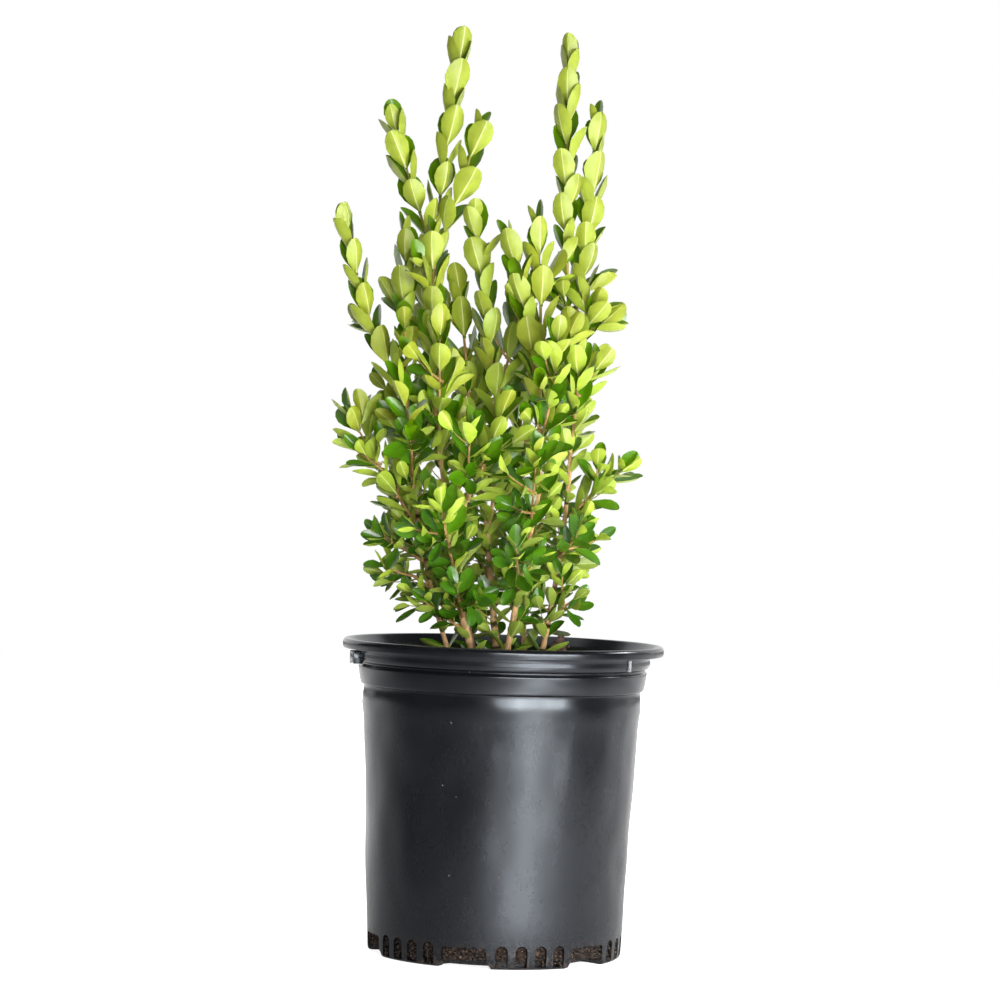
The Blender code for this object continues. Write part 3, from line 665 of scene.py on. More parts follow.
def divided(profile, station):
    """The profile with further points wherever two stand more than a station apart."""
    fine = [profile[0]]
    for first, second in zip(profile, profile[1:]):
        parts = max(1, math.ceil((second - first).length / station))
        fine.extend(first.lerp(second, part / parts) for part in range(1, parts + 1))
    return fine


def turned(profile, steps):
    """A closed bmesh turned round the Z axis from a profile that starts and ends on it."""
    shape = bmesh.new()
    corners = [shape.verts.new((radius, 0, height)) for radius, height in profile]
    edges = [shape.edges.new(pair) for pair in zip(corners, corners[1:])]
    bmesh.ops.spin(
        shape, geom=corners + edges, cent=(0, 0, 0), axis=(0, 0, 1), angle=TURN,
        steps=steps, use_merge=True, use_duplicate=False)
    bmesh.ops.remove_doubles(shape, verts=shape.verts, dist=WELD)
    bmesh.ops.recalc_face_normals(shape, faces=shape.faces)
    return shape


def wall_heights():
    """Heights of the pot's outside where its width changes, from the lip down."""
    lip_foot = POT_HEIGHT - LIP_DEPTH
    collar_foot = lip_foot - COLLAR_DEPTH
    groove_foot = collar_foot - GROOVE_DEPTH
    band_foot = groove_foot - BAND_DEPTH
    return lip_foot, collar_foot, groove_foot, band_foot, band_foot - SHOULDER_DEPTH


def pot_profile():
    """From the floor's middle up the inside, over the lip, down the outside and to the axis.

    A corner has a radius and what is added to it, a height and what is added to it, and the
    round of the corner. What is added, and the round, are in mm.
    """
    lip_foot, collar_foot, groove_foot, band_foot, body_top = wall_heights()
    corners = (
        (0, 0, FLOOR, 0, 0),
        (RING_INNER_RADIUS, 0, FLOOR, 0, 0.5),
        (RING_INNER_RADIUS + RING_HEIGHT - FLOOR, 0, RING_HEIGHT, 0, 0.5),
        (FOOT_RADIUS - WALL, 0, RING_HEIGHT, 0, 0.8),
        (BODY_TOP_RADIUS - WALL, 0, body_top, 0, 1.5),
        (GROOVE_RADIUS - WALL, 0, groove_foot, 0, 1.5),
        (GROOVE_RADIUS - WALL, 0, collar_foot, 0, 1.5),
        (COLLAR_TOP_RADIUS - WALL, 0, lip_foot, 0, 1.5),
        (LIP_CREST_RADIUS, -1.3, POT_HEIGHT, -0.5, 0.6),
        (LIP_CREST_RADIUS, -0.3, POT_HEIGHT, 0, 0.5),
        (LIP_RADIUS, -0.9, POT_HEIGHT, -0.2, 0.9),
        (LIP_RADIUS, 0, POT_HEIGHT, -1.6, 0.9),
        (LIP_RADIUS, -0.1, lip_foot, 0.6, 0.5),
        (LIP_RADIUS, -0.5, lip_foot, 0, 0.3),
        (LIP_RADIUS, -1.4, lip_foot, 0, 0.3),
        (LIP_RADIUS, -2, lip_foot, 0.9, 0.6),
        (COLLAR_TOP_RADIUS, 0.1, lip_foot, 0.7, 1.2),
        (COLLAR_TOP_RADIUS, -1.3, lip_foot, -1.5, 0.8),
        (COLLAR_TOP_RADIUS, -1.2, collar_foot, 2, 1.2),
        (COLLAR_FOOT_RADIUS, 0.2, collar_foot, 0.5, 0.6),
        (GROOVE_RADIUS, 0, collar_foot, -0.5, 0.5),
        (GROOVE_RADIUS, 0.1, groove_foot, 0.7, 0.5),
        (BAND_TOP_RADIUS, 0, groove_foot, -0.2, 0.8),
        (BAND_TOP_RADIUS, -0.45, band_foot, 5.2, 3),
        (BAND_FOOT_RADIUS, -0.1, band_foot, 1.1, 1),
        (BODY_TOP_RADIUS, 0.1, band_foot, 0.2, 0.3),
        (BODY_TOP_RADIUS, 0.1, body_top, 0, 0.8),
        (FOOT_RADIUS, 0, 0, 0, 2.5),
        (RING_INNER_RADIUS, 0, 0, 0, 0),
        (0, 0, 0, 0, 0))
    points = [(radius + out * MM, height + up * MM) for radius, out, height, up, _ in corners]
    rounds = [corner[-1] * MM for corner in corners[1:-1]]
    return divided(rounded(points, rounds), WALL_STATION)


def easing(value):
    value = min(1.0, max(0.0, value))
    return value * value * (3 - 2 * value)


def sector_share(angle, radius):
    """1 in the raised sectors between the feet, 0 on the feet, eased over a short way."""
    off = (angle - FIRST_FOOT_ANGLE - FOOT_TURN / 2) % FOOT_TURN
    off = min(off, FOOT_TURN - off)
    across = radius * math.sin(off)
    return easing((SECTOR_WIDTH / 2 + SECTOR_EASE / 2 - across) / SECTOR_EASE)


def shape_wall(shape):
    """Raises the sectors between the feet, and gives the thin wall its hoop and soft dents."""
    for corner in shape.verts:
        place = corner.co
        radius = math.hypot(place.x, place.y)
        if radius < RING_INNER_RADIUS:
            continue
        angle = math.atan2(place.y, place.x)
        outside = place.z < UNDERSIDE_TOP or radius > FOOT_SKIN_RADIUS
        if outside and place.z < RISE_HEIGHT:
            inward = easing((radius - RING_INNER_RADIUS) / RISE_EASE)
            rise = SECTOR_RISE * sector_share(angle, radius) * inward
            place.z += rise * (1 - place.z / RISE_HEIGHT)
        in_thin_wall = THIN_WALL_FOOT < place.z < DENTS_TOP
        if radius > FOOT_CORE_RADIUS and in_thin_wall:
            hoop = HOOP_PROUD * math.exp(-((place.z - HOOP_HEIGHT) / HOOP_DEPTH) ** 2)
            loose = easing((place.z - THIN_WALL_FOOT) / FOOT_EASE)
            loose *= easing((THIN_WALL_TOP - place.z) / TOP_EASE)
            ring = DENTS_ACROSS * math.cos(angle), DENTS_ACROSS * math.sin(angle)
            around = Vector((*ring, place.z * DENTS_A_METRE))
            dent = DENT_DEPTH * loose * noise.noise(around)
            dimple = DIMPLE_DEPTH * loose * noise.noise(around * DIMPLES_A_DENT)
            place.xy *= 1 + (hoop + dent + dimple) / radius


def foot_angles():
    """For each foot, the angles of its slots and of the middle of the sector after it."""
    for foot in range(FEET):
        angle = FIRST_FOOT_ANGLE + foot * FOOT_TURN
        offs = [number - (SLOTS_A_FOOT - 1) / 2 for number in range(SLOTS_A_FOOT)]
        yield [angle + off * SLOT_PITCH for off in offs], angle + FOOT_TURN / 2


def pushed_cutter(name, outline, angle):
    """A cutter pushed out through the wall from an outline of places across and up."""
    shape = bmesh.new()
    corners = [shape.verts.new((CUT_INNER_RADIUS, across, up)) for across, up in outline]
    pushed = bmesh.ops.extrude_face_region(shape, geom=[shape.faces.new(corners)])
    moved = [item for item in pushed["geom"] if isinstance(item, bmesh.types.BMVert)]
    bmesh.ops.translate(shape, vec=(CUT_OUTER_RADIUS - CUT_INNER_RADIUS, 0, 0), verts=moved)
    bmesh.ops.rotate(shape, cent=(0, 0, 0), matrix=Matrix.Rotation(angle, 3, "Z"), verts=shape.verts)
    bmesh.ops.recalc_face_normals(shape, faces=shape.faces)
    return bpy.data.objects.new(name, mesh_of(name, shape))


def arc(across, up, radius, start, end):
    """Places on an arc about a middle, from one angle to another in degrees."""
    angles = [math.radians(turn) for turn in range(start, end + 1, ARC_STEP)]
    return [(across + radius * math.cos(angle), up + radius * math.sin(angle)) for angle in angles]


def slot_outline():
    half = SLOT_WIDTH / 2
    arch = arc(0, SLOT_TOP - half, half, 0, 180)
    return [(half, SLOT_BOTTOM), *arch, (-half, SLOT_BOTTOM)]


def window_outline():
    """A window's edge, ragged along the top and round at the upper corners."""
    half = WINDOW_WIDTH / 2
    flat = half - WINDOW_ROUND
    up = WINDOW_TOP - WINDOW_ROUND
    ragged = random.Random("window edge")
    teeth = [
        (flat * (1 - 2 * step / WINDOW_TEETH), WINDOW_TOP + ragged.uniform(*TOOTH_HEIGHTS))
        for step in range(1, WINDOW_TEETH)]
    right = arc(flat, up, WINDOW_ROUND, 0, 90)
    left = arc(-flat, up, WINDOW_ROUND, 90, 180)
    return [*right, *teeth, *left, (-half, WINDOW_BOTTOM), (half, WINDOW_BOTTOM)]


def cut_drains(mesh):
    """The pot's mesh with slots through its feet and a window in each sector between."""
    pot = bpy.data.objects.new("uncut_pot", mesh)
    bpy.context.scene.collection.objects.link(pot)
    cutters = bpy.data.collections.new("drain_cutters")
    for slots, sector in foot_angles():
        for angle in slots:
            cutters.objects.link(pushed_cutter("slot", slot_outline(), angle))
        cutters.objects.link(pushed_cutter("window", window_outline(), sector))
    cut = pot.modifiers.new("drains", "BOOLEAN")
    cut.operation = "DIFFERENCE"
    cut.operand_type = "COLLECTION"
    cut.collection = cutters
    cut.solver = "MANIFOLD"
    depsgraph = bpy.context.evaluated_depsgraph_get()
    done = bpy.data.meshes.new_from_object(pot.evaluated_get(depsgraph))
    for old in [pot, *cutters.objects]:
        bpy.data.objects.remove(old, do_unlink=True)
    bpy.data.collections.remove(cutters)
    return done


def add_pot(plastic):
    shape = turned(pot_profile(), POT_STEPS)
    shape_wall(shape)
    cut = bmesh.new()
    cut.from_mesh(cut_drains(mesh_of("pot_wall", shape)))
    add_piece("nursery_pot", cut, [plastic], ["pot"], sharp=PLASTIC_CREASE)


def block_on_wall(shape, angle, radius, height, size, bevel):
    """A small bevelled block on the pot's outside, in degrees and mm."""
    corners = bmesh.ops.create_cube(shape, size=1)["verts"]
    bmesh.ops.scale(shape, vec=Vector(size) * MM, verts=corners)
    edges = list({edge for corner in corners for edge in corner.link_edges})
    rounds = bmesh.ops.bevel(
        shape, geom=edges, offset=bevel * MM, segments=2, profile=0.5, affect="EDGES",
        material=-1)
    block = list({corner for face in rounds["faces"] for corner in face.verts})
    out = Matrix.Translation((radius * MM, 0, height * MM))
    place = Matrix.Rotation(math.radians(angle), 4, "Z") @ out
    bmesh.ops.transform(shape, matrix=place, verts=block)


def add_fitting(name, blocks, material):
    """The small hanger lug under the lip at the left, or the rib at the right, which is pale with
    wear and a painted highlight.
    """
    shape = bmesh.new()
    for block in blocks:
        block_on_wall(shape, *block)
    add_piece(name, shape, [material], sharp=PLASTIC_CREASE)


def soil_profile():
    """Down from the middle of the mix's top along the inside of the pot, to its underside."""
    lip_foot, collar_foot, groove_foot, _, body_top = wall_heights()
    share = (SOIL_TOP - collar_foot) / (lip_foot - collar_foot)
    top_radius = GROOVE_RADIUS - WALL + share * (COLLAR_TOP_RADIUS - GROOVE_RADIUS) - GAP
    return [
        (0, SOIL_TOP),
        (top_radius, SOIL_TOP),
        (GROOVE_RADIUS - WALL - GAP, collar_foot),
        (GROOVE_RADIUS - WALL - GAP, groove_foot),
        (BODY_TOP_RADIUS - WALL - 2 * GAP, body_top),
        (FOOT_RADIUS - WALL + 0.6 * MM, 14 * MM),
        (FOOT_RADIUS - WALL + 0.1 * MM, RING_HEIGHT + GAP),
        (RING_INNER_RADIUS + RING_HEIGHT - FLOOR - 2 * GAP, RING_HEIGHT + GAP),
        (RING_INNER_RADIUS - 3 * GAP, FLOOR + GAP),
        (0, FLOOR + GAP)]


def crumble(place, coarse, fine):
    """A crumbly height at a place, from lumps of two sizes."""
    lumps = noise.noise(place * coarse) + 0.6 * noise.noise(place * fine)
    return lumps + 0.8 * abs(noise.noise(place * coarse * 0.5))


def add_mix(mix):
    points = [Vector(point) for point in soil_profile()]
    top = divided(points[:2], SOIL_RING)
    middle = points[2:5]
    foot = divided(points[5:7], SOIL_FOOT_RING)
    shape = turned(top + middle + foot + points[7:], SOIL_STEPS)
    for corner in shape.verts:
        place = corner.co
        radius = math.hypot(place.x, place.y)
        if place.z > SOIL_TOP - 0.1 * MM:
            depth, *lumps = TOP_CRUMBS
            mound = MOUND * easing(1 - radius / MOUND_RADIUS)
            place.z += depth * crumble(place, *lumps) + mound - MOUND / 2
        elif radius > FOOT_CORE_RADIUS and place.z < 15 * MM:
            depth, *lumps = FOOT_CRUMBS
            place.xy *= 1 - depth * (0.7 + crumble(place, *lumps)) / radius
    add_piece("potting_mix_fill", shape, [mix], ["soil"])


def chip(shape, place, size, chance):
    """One rough chip: a small ball squeezed flat, knocked about and turned at random."""
    corners = bmesh.ops.create_icosphere(shape, subdivisions=1, radius=1)["verts"]
    for corner in corners:
        corner.co *= chance.uniform(0.72, 1.1)
    turn = Quaternion([chance.gauss(0, 1) for _ in range(4)]).normalized().to_matrix().to_4x4()
    flat = Matrix.Diagonal((*size, 1))
    tipped = Matrix.Rotation(chance.uniform(-0.5, 0.5), 4, "X")
    lay = tipped @ Matrix.Rotation(chance.uniform(0, TURN), 4, "Z")
    squeezed = lay @ flat @ turn
    bmesh.ops.transform(shape, matrix=Matrix.Translation(place) @ squeezed, verts=corners)


def add_to(joined, one):
    """Adds a bmesh, which is freed, to the one that it is joined into."""
    mesh = mesh_of("part", one)
    joined.from_mesh(mesh)
    bpy.data.meshes.remove(mesh)


def joined_chips(name, material, places):
    """Chips joined into one piece; each is made apart, since small meshes are quick to work."""
    chance = random.Random(name)
    joined = bmesh.new()
    for place, size in places(chance):
        one = bmesh.new()
        chip(one, place, size, chance)
        add_to(joined, one)
    add_piece(name, joined, [material], sharp=CHIP_CREASE)


def chips_on_top(count, smallest, largest):
    def places(chance):
        for _ in range(count):
            radius = CHIPS_RADIUS * math.sqrt(chance.random())
            angle = chance.uniform(0, TURN)
            long = chance.uniform(smallest, largest) * MM
            size = (long, long * chance.uniform(0.4, 0.8), long * chance.uniform(0.2, 0.45))
            height = SOIL_TOP + chance.uniform(0.0, 1.2) * MM
            yield Vector((radius * math.cos(angle), radius * math.sin(angle), height)), size
    return places


def crumbs_at_foot(share, largest):
    """Crumbs of mix that show in the windows and slots at the pot's foot."""
    def places(chance):
        for slots, sector in foot_angles():
            for _ in range(round(150 * share)):
                angle = sector + chance.uniform(-0.18, 0.18)
                yield foot_crumb(angle, chance.uniform(4.0, 11.0), largest, chance)
            for slot in slots:
                for _ in range(round(30 * share)):
                    angle = slot + chance.uniform(-0.034, 0.034)
                    yield foot_crumb(angle, chance.uniform(1.8, 11.4), largest, chance)
    return places


def foot_crumb(angle, height, largest, chance):
    radius = FOOT_SKIN_RADIUS + chance.uniform(-0.5, 0.5) * MM
    long = chance.uniform(0.3, largest) * MM
    size = (long, long * chance.uniform(0.5, 1.0), long * chance.uniform(0.4, 0.8))
    return Vector((radius * math.cos(angle), radius * math.sin(angle), height * MM)), size


def lump_chips(chance):
    """A rough lump of bark: a core with chips all over it."""
    middle, size = BARK_LUMP
    yield middle, size * 0.9
    for _ in range(LUMP_CHIPS):
        way = Vector([chance.gauss(0, 1) for _ in range(3)]).normalized()
        long = chance.uniform(1.3, 2.6) * MM
        yield middle + way * size, (long, long * 0.7, long * 0.45)


def add_chips():
    dark = grainy_finish("bark_chip_dark", (34, 26, 21), (74, 55, 42))
    tan = grainy_finish("bark_chip_tan", (84, 64, 48), (150, 122, 94))
    damp = grainy_finish("bark_chip_damp", (18, 14, 12), (50, 38, 30))
    lump_brown = grainy_finish("bark_lump_brown", (52, 36, 30), (112, 82, 70))
    olive = grainy_finish("dead_leaf_olive", (48, 56, 34), (92, 100, 62))
    joined_chips("chips_dark", dark, chips_on_top(300, 1.2, 4.5))
    joined_chips("chips_tan", tan, chips_on_top(130, 0.8, 3.4))
    joined_chips("crumbs_at_foot_damp", damp, crumbs_at_foot(1.0, 1.2))
    joined_chips("crumbs_at_foot_tan", tan, crumbs_at_foot(0.1, 0.55))
    joined_chips("bark_lump", lump_brown, lump_chips)
    joined_chips("dead_leaf", olive, lambda chance: [DEAD_LEAF])


def start_on(carrier, height, toward, thick):
    """Where a limb of radius thick starts on its carrier: on its tip, or on its side."""
    if height is TIP:
        return carrier.end + GAP * carrier.along(1)
    share = carrier.share_at_height(height * MM)
    foot = carrier.at(share)
    axis = carrier.along(share)
    way = (toward - foot).normalized()
    sine = way.cross(axis).length
    cosine = abs(way.dot(axis))
    clear = carrier.radius(share) + GAP + thick * cosine
    return foot + way * clear / sine


def plan_limbs():
    """Routes of all stems and boughs by name."""
    limbs = {}
    for name, (foot, tip, bow, thick, thin) in STEMS.items():
        start = Vector((foot[0] * MM, foot[1] * MM, SOIL_TOP + GAP))
        bow_way = Vector((*bow, 0)) * MM
        limbs[name] = Route(start, Vector(tip) * MM, bow_way, thick * MM, thin * MM)
    for name, (carrier, height, tip, bow, thick, thin) in BOUGHS.items():
        end = Vector(tip) * MM
        bow_way = Vector((*bow, 0)) * MM
        start = start_on(limbs[carrier], height, end + 4 * bow_way, thick * MM)
        limbs[name] = Route(start, end, bow_way, thick * MM, thin * MM)
    return limbs


class Clearances:
    """The space already taken, which no new twig or leaf may touch."""

    def __init__(self):
        self.points = []
        self.radii = []
        self.owners = []
        self.solids = []

    def take_route(self, route, owner):
        samples = route.samples(CLEARANCE_STEP)
        for number, point in enumerate(samples):
            self.points.append(tuple(point))
            self.radii.append(route.radius(number / (len(samples) - 1)))
            self.owners.append(owner)

    def route_is_clear(self, route, owner):
        taken = numpy.array(self.points)
        room = numpy.array(self.radii) + route.thick + 3 * GAP
        others = numpy.array([name != owner for name in self.owners])
        for point in route.samples(CLEARANCE_STEP)[2:]:
            away = numpy.linalg.norm(taken - numpy.array(point), axis=1)
            if numpy.any(others & (away < room)):
                return False
        return True

    def take_solid(self, corners, faces):
        middle, reach = bounding_ball(corners)
        self.solids.append((middle, reach, BVHTree.FromPolygons(corners, faces)))

    def solid_is_clear(self, corners, faces):
        middle, reach = bounding_ball(corners)
        near = [tree for place, size, tree in self.solids if (place - middle).length < reach + size]
        if not near:
            return True
        tested = BVHTree.FromPolygons(corners, faces)
        return not any(tested.overlap(tree) for tree in near)


def bounding_ball(corners):
    middle = sum(corners, Vector()) / len(corners)
    return middle, max((corner - middle).length for corner in corners)


def twig_stations(route):
    return max(1, round(route.length() / TWIG_STATION))


def on_twig(route, share):
    """The middle of the twig as the solid has it, straight from station to station."""
    stations = twig_stations(route)
    number = min(stations - 1, int(share * stations))
    part = share * stations - number
    return route.at(number / stations).lerp(route.at((number + 1) / stations), part)


def side_twig(stem, share, turn, length, chance):
    """A short twig that leaves the stem sideways and turns up toward the light."""
    root = on_twig(stem, share)
    axis = stem.along(share)
    side = Matrix.Rotation(turn, 3, axis) @ axis.orthogonal().normalized()
    lean = math.radians(chance.uniform(*TWIG_LEAN))
    turned_up = Vector((0, 0, TWIG_UPTURN))
    way = (axis * math.cos(lean) + side * math.sin(lean) + turned_up).normalized()
    reach = length * chance.uniform(*TWIG_REACH)
    bow = side * reach * TWIG_BOW
    return Route(root, root + way * reach, bow, SIDE_TWIG_RADIUS, TWIG_TIP_RADIUS)


def plan_twigs(name, limbs, clearances):
    """The mass's own stem first, then the side twigs that keep clear of the rest."""
    carrier, height, tip, bow, side_count, side_length, leaf = MASSES[name]
    chance = random.Random(name)
    end = Vector(tip) * MM
    bow_way = Vector((*bow, 0)) * MM
    start = start_on(limbs[carrier], height, end + 4 * bow_way, TWIG_RADIUS)
    stem = Route(start, end, bow_way, TWIG_RADIUS, TWIG_TIP_RADIUS)
    stem.end = end - stem.along(1) * leaf * TIP_LEAF_SHARE * MM
    clearances.take_route(stem, name)
    twigs = [stem]
    turn = chance.uniform(0, TURN)
    for number in range(side_count):
        place = number + chance.uniform(0.2, 0.8)
        share = BARE_SHARE + TWIGGY_SHARE * place / side_count
        for _ in range(TWIG_TRIES):
            turn += GOLDEN_TURN
            twig = side_twig(stem, share, turn, side_length * MM, chance)
            if clearances.route_is_clear(twig, name):
                clearances.take_route(twig, name)
                twigs.append(twig)
                break
    return twigs


def tube(route, sides, step, radius_at, relief=0.0, sunk=0.0):
    """A closed bmesh tube along the route, with relief as a share of its radius."""
    count = max(3, round(route.length() / step))
    shape = bmesh.new()
    bmesh.ops.create_circle(shape, cap_ends=True, segments=sides, radius=1)
    axis = Vector((0, 0, 1))
    turn = Quaternion()
    last = Matrix()
    rings = []
    cap = shape.faces[:]
    for number in range(-1 if sunk else 0, count + 1):
        share = max(0, number) / count
        ahead = route.along(share)
        turn = axis.rotation_difference(ahead) @ turn
        axis = ahead
        point = route.at(share) - (sunk * axis if number < 0 else Vector())
        laid = Matrix.Translation(point) @ turn.to_matrix().to_4x4()
        place = laid @ Matrix.Scale(radius_at(share), 4)
        if rings:
            pushed = bmesh.ops.extrude_face_region(shape, geom=cap)["geom"]
            cap = [item for item in pushed if isinstance(item, bmesh.types.BMFace)]
        corners = [corner for face in cap for corner in face.verts]
        bmesh.ops.transform(shape, matrix=place @ last.inverted(), verts=corners)
        last = place
        rings.append((point, corners))
    for point, corners in rings:
        for corner in corners:
            x, y, z = corner.co
            grain = Vector((x * GRAIN_ACROSS, y * GRAIN_ACROSS, z * GRAIN_ALONG))
            rough = noise.noise(grain) + 0.5 * noise.noise(corner.co * GRAIN_LUMPS)
            corner.co += (corner.co - point) * relief * rough
    bmesh.ops.recalc_face_normals(shape, faces=shape.faces)
    return shape


def swelling(run, nodes):
    """How much thicker a limb or twig is at this run along it, where its leaves stood."""
    most, spacing, width = nodes
    return most * math.exp(-(((run / spacing) % 1 - 0.5) / width) ** 2)


def bark_radius(route, foot):
    """The limb's radius, with a flare at the soil and a slight swelling at each node."""
    def radius_at(share):
        run = share * route.length()
        flare = BARK_FLARE * math.exp(-run / FLARE_LENGTH) if foot else 0.0
        return route.radius(share) * (BARK_SLIM + flare + swelling(run, BARK_NODES))
    return radius_at


def add_limbs(limbs, bark):
    sides, step, relief = BARK_TUBE
    for name, route in limbs.items():
        foot = name in STEMS
        sunk = STEM_SUNK if foot else BOUGH_SUNK
        shape = tube(route, sides, step, bark_radius(route, foot), relief, sunk)
        add_piece("bark_" + name, shape, [bark], [name])


def leaf_share(height):
    """0 for the small low leaves, 1 for the large ones on the high shoots."""
    return easing((height - LOW_HEIGHT) / (HIGH_HEIGHT - LOW_HEIGHT))


def leaf_length(height):
    return LOW_LEAF + leaf_share(height) * (HIGH_LEAF - LOW_LEAF)


def leaf_lean(height):
    return LOW_LEAN + leaf_share(height) * (HIGH_LEAN - LOW_LEAN)


def surface_of(shape):
    """Corners and faces of a bmesh, which is freed, for finding what touches it."""
    shape.verts.index_update()
    corners = [corner.co.copy() for corner in shape.verts]
    faces = [tuple(corner.index for corner in face.verts) for face in shape.faces]
    shape.free()
    return corners, faces


def tube_surface(route, radius_at):
    """A plain tube of few faces in place of a twig or limb."""
    return surface_of(tube(route, *TUBE_TEST, radius_at))


def leaf_surface():
    """A leaf 1 long, 1 wide and 1 thick, in few faces."""
    shape = bmesh.new()
    bmesh.ops.create_uvsphere(shape, u_segments=6, v_segments=2, radius=1)
    for corner in shape.verts:
        if abs(corner.co.z) > 0.5:
            corner.co = (0.55, 0, 0.5 * math.copysign(1, corner.co.z))
        else:
            turn = math.atan2(corner.co.x, corner.co.y)
            share = (1 - math.cos(turn)) / 2
            corner.co = (share ** 0.55, math.sin(turn) / 2, 0)
    return surface_of(shape)


class Leaf:
    """One leaf: its root, the way it points, its upper side, its size, tint and owner."""

    def __init__(self, root, axis, side, lean, roll, length, slender):
        self.way = axis * math.cos(lean) + side * math.sin(lean)
        up = axis * math.sin(lean) - side * math.cos(lean)
        self.up = Matrix.Rotation(roll, 3, self.way) @ up
        self.root = root - self.way * LEAF_SUNK
        self.length = length
        self.slender = slender
        self.tint = None
        self.owner = None

    def matrix(self, skip=0.0, width=1.0, thickness=1.0):
        length = self.length * (1 - skip)
        across = self.up.cross(self.way) * self.length * self.slender * width
        sides = (self.way * length, across, self.up * self.length * thickness)
        start = self.root + self.way * self.length * skip
        return Matrix.Translation(start) @ Matrix(sides).transposed().to_4x4()


class Crown:
    """All leaves of the plant, and the space that is taken."""

    def __init__(self, clearances):
        self.clearances = clearances
        self.test_corners, self.test_faces = leaf_surface()
        self.leaves = []

    def try_leaf(self, root, axis, side, length, lean, chance):
        """The first of a few tries at a leaf that touches nothing, or None."""
        slender = LOW_SLENDER + (1 - LOW_SLENDER) * leaf_share(root.z)
        slender *= chance.uniform(*SLENDER_SPREAD)
        for attempt in range(LEAF_TRIES):
            sway = chance.uniform(-LEAF_SWAY, LEAF_SWAY) * (1 + attempt)
            swayed = Matrix.Rotation(sway, 3, axis) @ side
            grown = length * chance.uniform(*LENGTH_SPREAD) * (1 - TRY_SHRINK * attempt)
            open_by = lean * chance.uniform(*LEAN_SPREAD) + attempt * LEAF_OPENING
            roll = chance.uniform(-LEAF_ROLL, LEAF_ROLL)
            leaf = Leaf(root, axis, swayed, open_by, roll, grown, slender)
            place = leaf.matrix(LEAF_ROOT_FREE, LEAF_WIDTH, LEAF_TEST_THICKNESS)
            corners = [place @ corner for corner in self.test_corners]
            above_soil = min(corner.z for corner in corners) > SOIL_TOP + LEAF_OVER_SOIL
            if above_soil and self.clearances.solid_is_clear(corners, self.test_faces):
                self.clearances.take_solid(corners, self.test_faces)
                return leaf
        return None

    def leaf_pairs(self, owner, route, reach, chance):
        """Pairs that stand crosswise, one above another, up a twig."""
        (first, last), size = reach
        length = leaf_length(route.at(0.5).z) * size
        count = max(1, round(route.length() * (last - first) / (length * NODE_SPACING)))
        least, most = PAIR_TURN
        off = chance.uniform(-1, 1)
        turn = math.copysign(least + (most - least) * abs(off), off)
        for number in range(count + 1):
            share = first + (last - first) * number / count
            height = route.at(share).z
            axis = route.along(share)
            turned_by = turn + number * TURN / 4
            side = Matrix.Rotation(turned_by, 3, axis) @ axis.cross(FRONT).normalized()
            from_tip = min(count - number, len(TIP_SIZES) - 1)
            lean = leaf_lean(height) * TIP_LEANS[from_tip]
            grown = leaf_length(height) * size * TIP_SIZES[from_tip]
            for opposite in (side, -side):
                leaf = self.try_leaf(route.at(share), axis, opposite, grown, lean, chance)
                if leaf:
                    leaf.tint = self.tint(height, share, chance)
                    leaf.owner = owner
                    self.leaves.append(leaf)

    def tint(self, height, share, chance):
        """Young and pale at the top and at the twig's tip, old and dark low down and inside."""
        oldest = len(TINTS) - 1
        age = oldest * (AGED_TOP - height) / (AGED_TOP - LOW_HEIGHT)
        age += TINTS_A_TWIG * (0.5 - share) + chance.uniform(-TINTS_ASTRAY, TINTS_ASTRAY)
        return list(TINTS)[min(oldest, max(0, round(age)))]


def slim(route, share):
    """The twig as it is in life, which is thinner than its solid."""
    return route.radius(share) * (TWIG_SLIM - TWIG_TAPER * share)


def twig_radius(route):
    def radius_at(share):
        return slim(route, share) * (1 + swelling(share * route.length(), TWIG_NODES))
    return radius_at


def twig_tube(route, sides, step, relief, sunk):
    return tube(route, sides, step, twig_radius(route), relief, sunk)


def add_twigs(masses, fine_twigs):
    """Old twigs and young ones, each kind joined into one piece."""
    tints = {"young": linear(176, 160, 76), "old": linear(186, 146, 88)}
    joined = {kind: bmesh.new() for kind in tints}
    owners = {kind: set() for kind in tints}
    for name, twigs in masses.items():
        for twig in twigs:
            kind = "young" if twig.at(0.5).z > HIGH_HEIGHT else "old"
            add_to(joined[kind], twig_tube(twig, *TWIG_TUBE))
            owners[kind].add(name)
    for name, twig in fine_twigs:
        add_to(joined["young"], twig_tube(twig, *FINE_TWIG_TUBE))
        if name in MASSES:
            owners["young"].add(name)
    for kind, tint in tints.items():
        finish = twig_finish(f"twig_{kind}", tint)
        add_piece(f"twigs_{kind}", joined[kind], [finish], sorted(owners[kind]))


